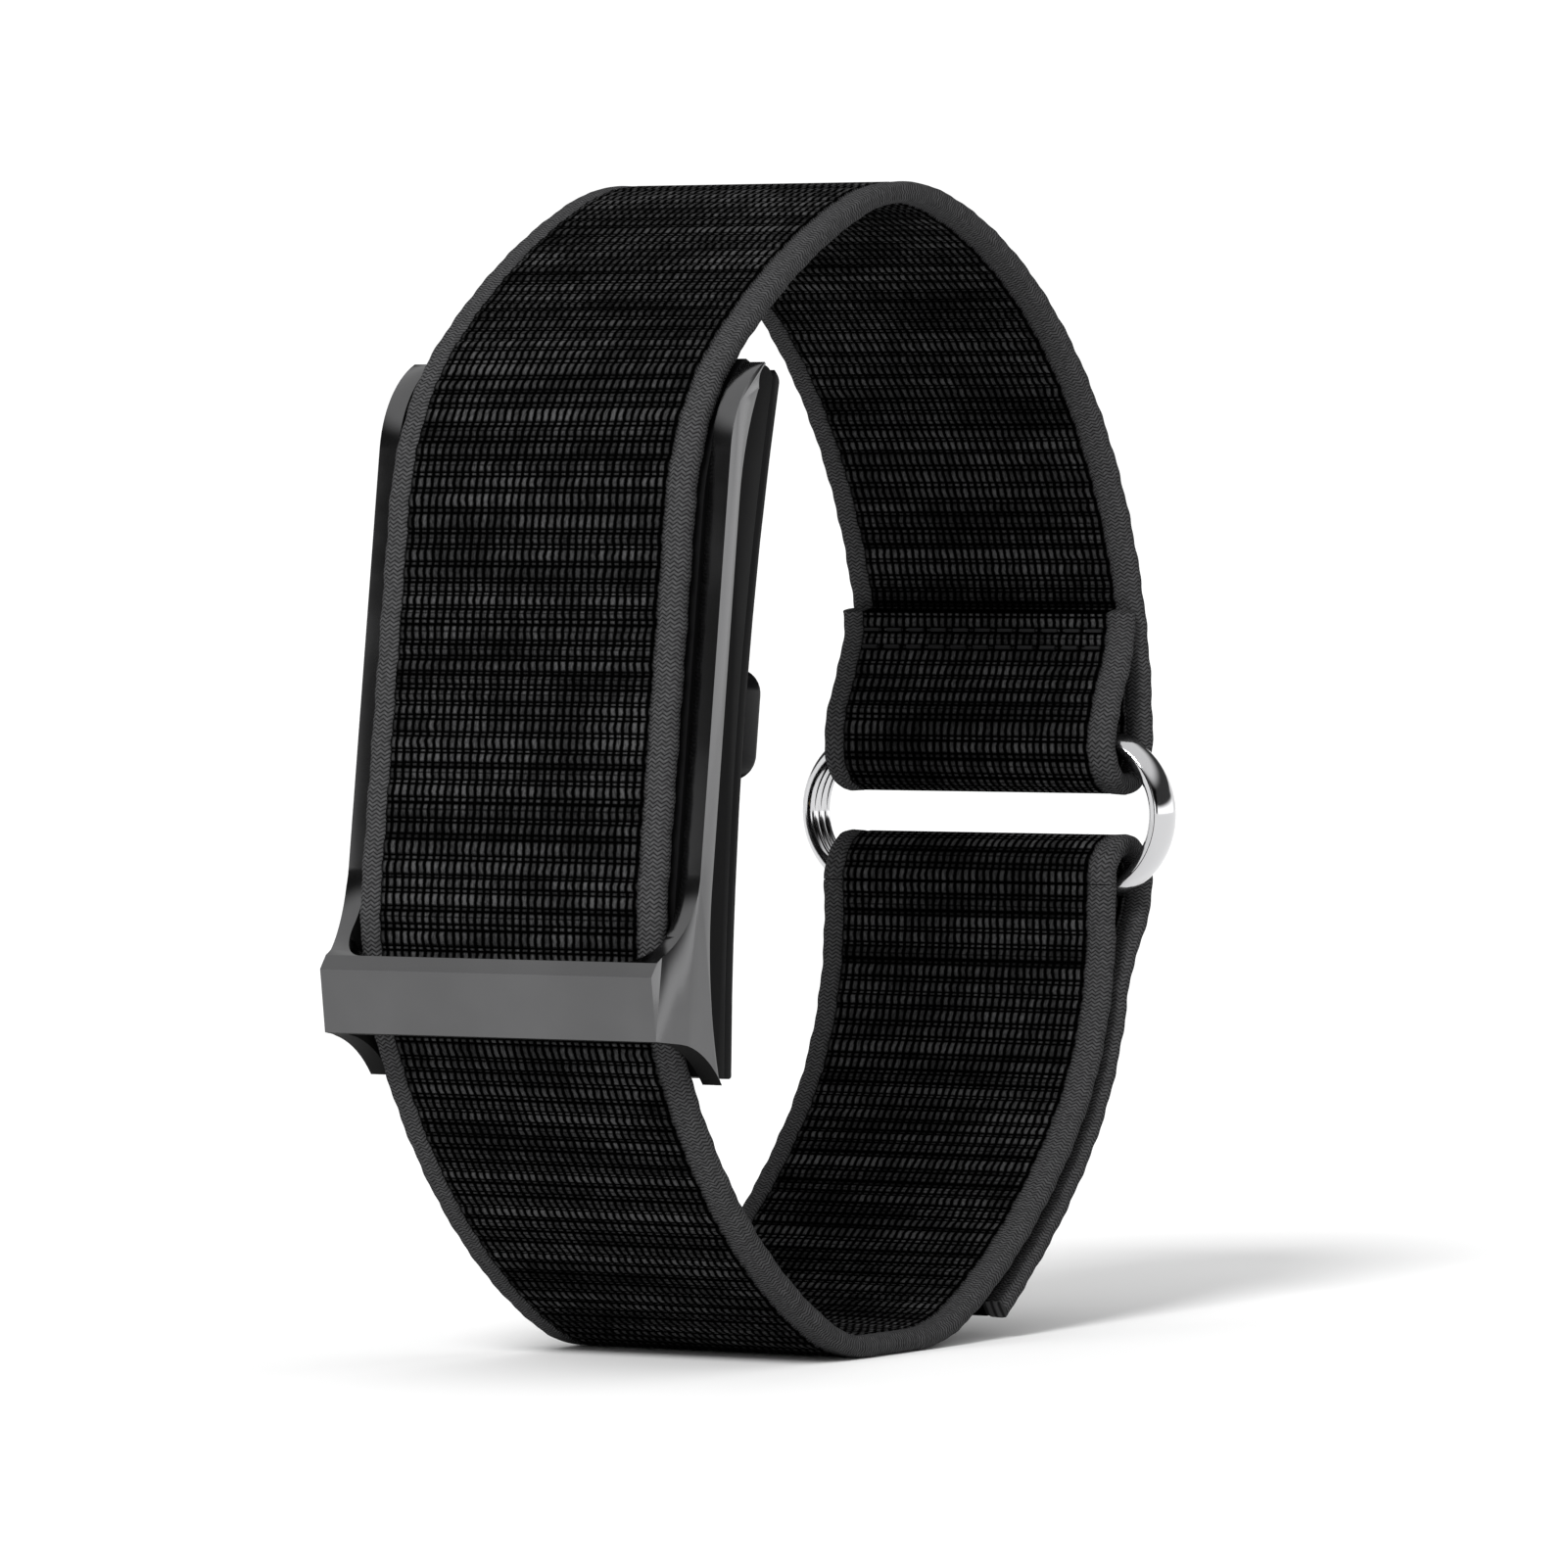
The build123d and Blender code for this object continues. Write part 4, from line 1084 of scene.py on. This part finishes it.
def lay_floor(scene, stage):
    """A pale matt floor, wide enough to have no edge in view."""
    bm = bmesh.new()
    bmesh.ops.create_grid(bm, x_segments=1, y_segments=1, size=FLOOR_SIZE)
    material, kit, shader = new_material("studio_floor", Roughness=0.9, Specular_IOR_Level=0.0)
    place = kit.add("ShaderNodeTexCoord").outputs["Object"]
    paler = tuple(part * FLOOR_PALER for part in stage.floor)
    kit.feed(
        shader.inputs["Base Color"],
        kit.mix(kit.noise(place, FLOOR_PATCHES), colour4(stage.floor), colour4(paler)),
    )
    mesh = bpy.data.meshes.new("studio_floor")
    bm.to_mesh(mesh)
    bm.free()
    mesh.materials.append(material)
    floor = bpy.data.objects.new("studio_floor", mesh)
    scene.collection.objects.link(floor)


def hang_key_light(scene, stage):
    """A wide soft sun, from the front and above."""
    key_data = bpy.data.lights.new("key", "SUN")
    key_data.energy = stage.sun
    key_data.angle = radians(KEY_WIDTH)
    key = bpy.data.objects.new("key", key_data)
    key.rotation_euler = Vector(KEY_TRAVEL).to_track_quat("-Z", "Y").to_euler()
    scene.collection.objects.link(key)


def reflected_light(kit):
    """The strength of what the metal reflects in each direction."""
    look = kit.add("ShaderNodeSeparateXYZ")
    kit.feed(look.inputs[0], kit.add("ShaderNodeTexCoord").outputs["Generated"])
    aside, forwards, up = look.outputs
    left = kit.span(up, *LEFT_WALL_TOP, LEFT_WALL, ABOVE_WALLS)
    right = kit.span(up, *RIGHT_WALL_TOP, RIGHT_WALL, ABOVE_WALLS)
    walls = kit.span(aside, *WALLS_MEET, left, right)
    from_post = kit.away_from(kit.away_from(aside, POSTS_MIDDLE), POSTS_SPREAD)
    posts = kit.span(from_post, *POST_EDGE, POST_TONE, 1.0)
    posts = kit.math("MAXIMUM", posts, kit.span(forwards, *POSTS_BEHIND))
    overhead = kit.span(up, *OVERHEAD_EDGE, 0.0, OVERHEAD)
    walls = kit.times(walls, kit.span(up, *FLOOR_EDGE, FLOOR_TONE, 1.0))
    return kit.math("ADD", kit.times(walls, posts), overhead)


def surround(scene, stage):
    """A white backdrop, an even sky, and cards that only reflections see."""
    world = bpy.data.worlds.new("studio")
    scene.world = world
    world.use_nodes = True
    world.node_tree.nodes.clear()
    kit = NodeKit(world.node_tree)
    rays = kit.add("ShaderNodeLightPath")
    sky, backdrop, cards = (kit.add("ShaderNodeBackground") for _ in range(3))
    for background in (sky, backdrop, cards):
        background.inputs["Color"].default_value = (1, 1, 1, 1)
    sky.inputs["Strength"].default_value = stage.sky
    backdrop.inputs["Strength"].default_value = BACKDROP
    kit.feed(cards.inputs["Strength"], reflected_light(kit))
    light = sky
    for ray, background in (("Is Glossy Ray", cards), ("Is Camera Ray", backdrop)):
        chosen = kit.add("ShaderNodeMixShader")
        kit.feed(chosen.inputs[0], rays.outputs[ray])
        kit.feed(chosen.inputs[1], light.outputs[0])
        kit.feed(chosen.inputs[2], background.outputs[0])
        light = chosen
    kit.feed(kit.add("ShaderNodeOutputWorld").inputs[0], light.outputs[0])


def place_camera(scene, stage):
    """A long lens, to the right of the front."""
    camera_data = bpy.data.cameras.new("camera")
    camera_data.lens = stage.lens
    camera_data.sensor_width = 36
    camera_data.clip_start = 0.05
    camera_data.clip_end = 100
    camera = bpy.data.objects.new("camera", camera_data)
    camera.location = stage.camera_place
    camera.rotation_euler = stage.camera_turn
    scene.collection.objects.link(camera)
    scene.camera = camera


class STAGE_OT_studio(bpy.types.Operator):
    """Set up the pale floor, the soft light and the camera"""

    bl_idname = "tracker_band.studio"
    bl_label = "Studio"
    bl_options = {"REGISTER", "UNDO"}

    def execute(self, context):
        scene = context.scene
        stage = scene.tracker_band.stage
        lay_floor(scene, stage)
        scene.view_settings.view_transform = "Standard"
        hang_key_light(scene, stage)
        surround(scene, stage)
        place_camera(scene, stage)
        return {"FINISHED"}


class VIEW3D_PT_tracker_band(bpy.types.Panel):
    """Panel that lists the pieces of the band"""

    bl_label = "Tracker Band"
    bl_space_type = "VIEW_3D"
    bl_region_type = "UI"
    bl_category = "Tracker Band"

    def draw(self, context):
        settings = context.scene.tracker_band
        for group in (settings.strap, settings.metal, settings.pod, settings.stage):
            box = self.layout.box()
            for name in group.__annotations__:
                box.prop(group, name)
        for operator in PIECES:
            self.layout.operator(operator.bl_idname)


PIECES = (
    STRAP_OT_loop,
    STRAP_OT_tail,
    STRAP_OT_sewing,
    CLASP_OT_frame,
    CLASP_OT_spring_bar,
    POD_OT_shell,
    POD_OT_window,
    POD_OT_inside,
    RING_OT_ring,
    STAGE_OT_studio,
)
CLASSES = (
    StrapSettings,
    MetalSettings,
    PodSettings,
    StageSettings,
    BandSettings,
    *PIECES,
    VIEW3D_PT_tracker_band,
)


def register():
    for cls in CLASSES:
        bpy.utils.register_class(cls)
    bpy.types.Scene.tracker_band = PointerProperty(type=BandSettings)


def unregister():
    del bpy.types.Scene.tracker_band
    for cls in reversed(CLASSES):
        bpy.utils.unregister_class(cls)


def main():
    register()
    for operator in PIECES:
        family, call = operator.bl_idname.split(".")
        getattr(getattr(bpy.ops, family), call)()


if __name__ == "__main__":
    main()
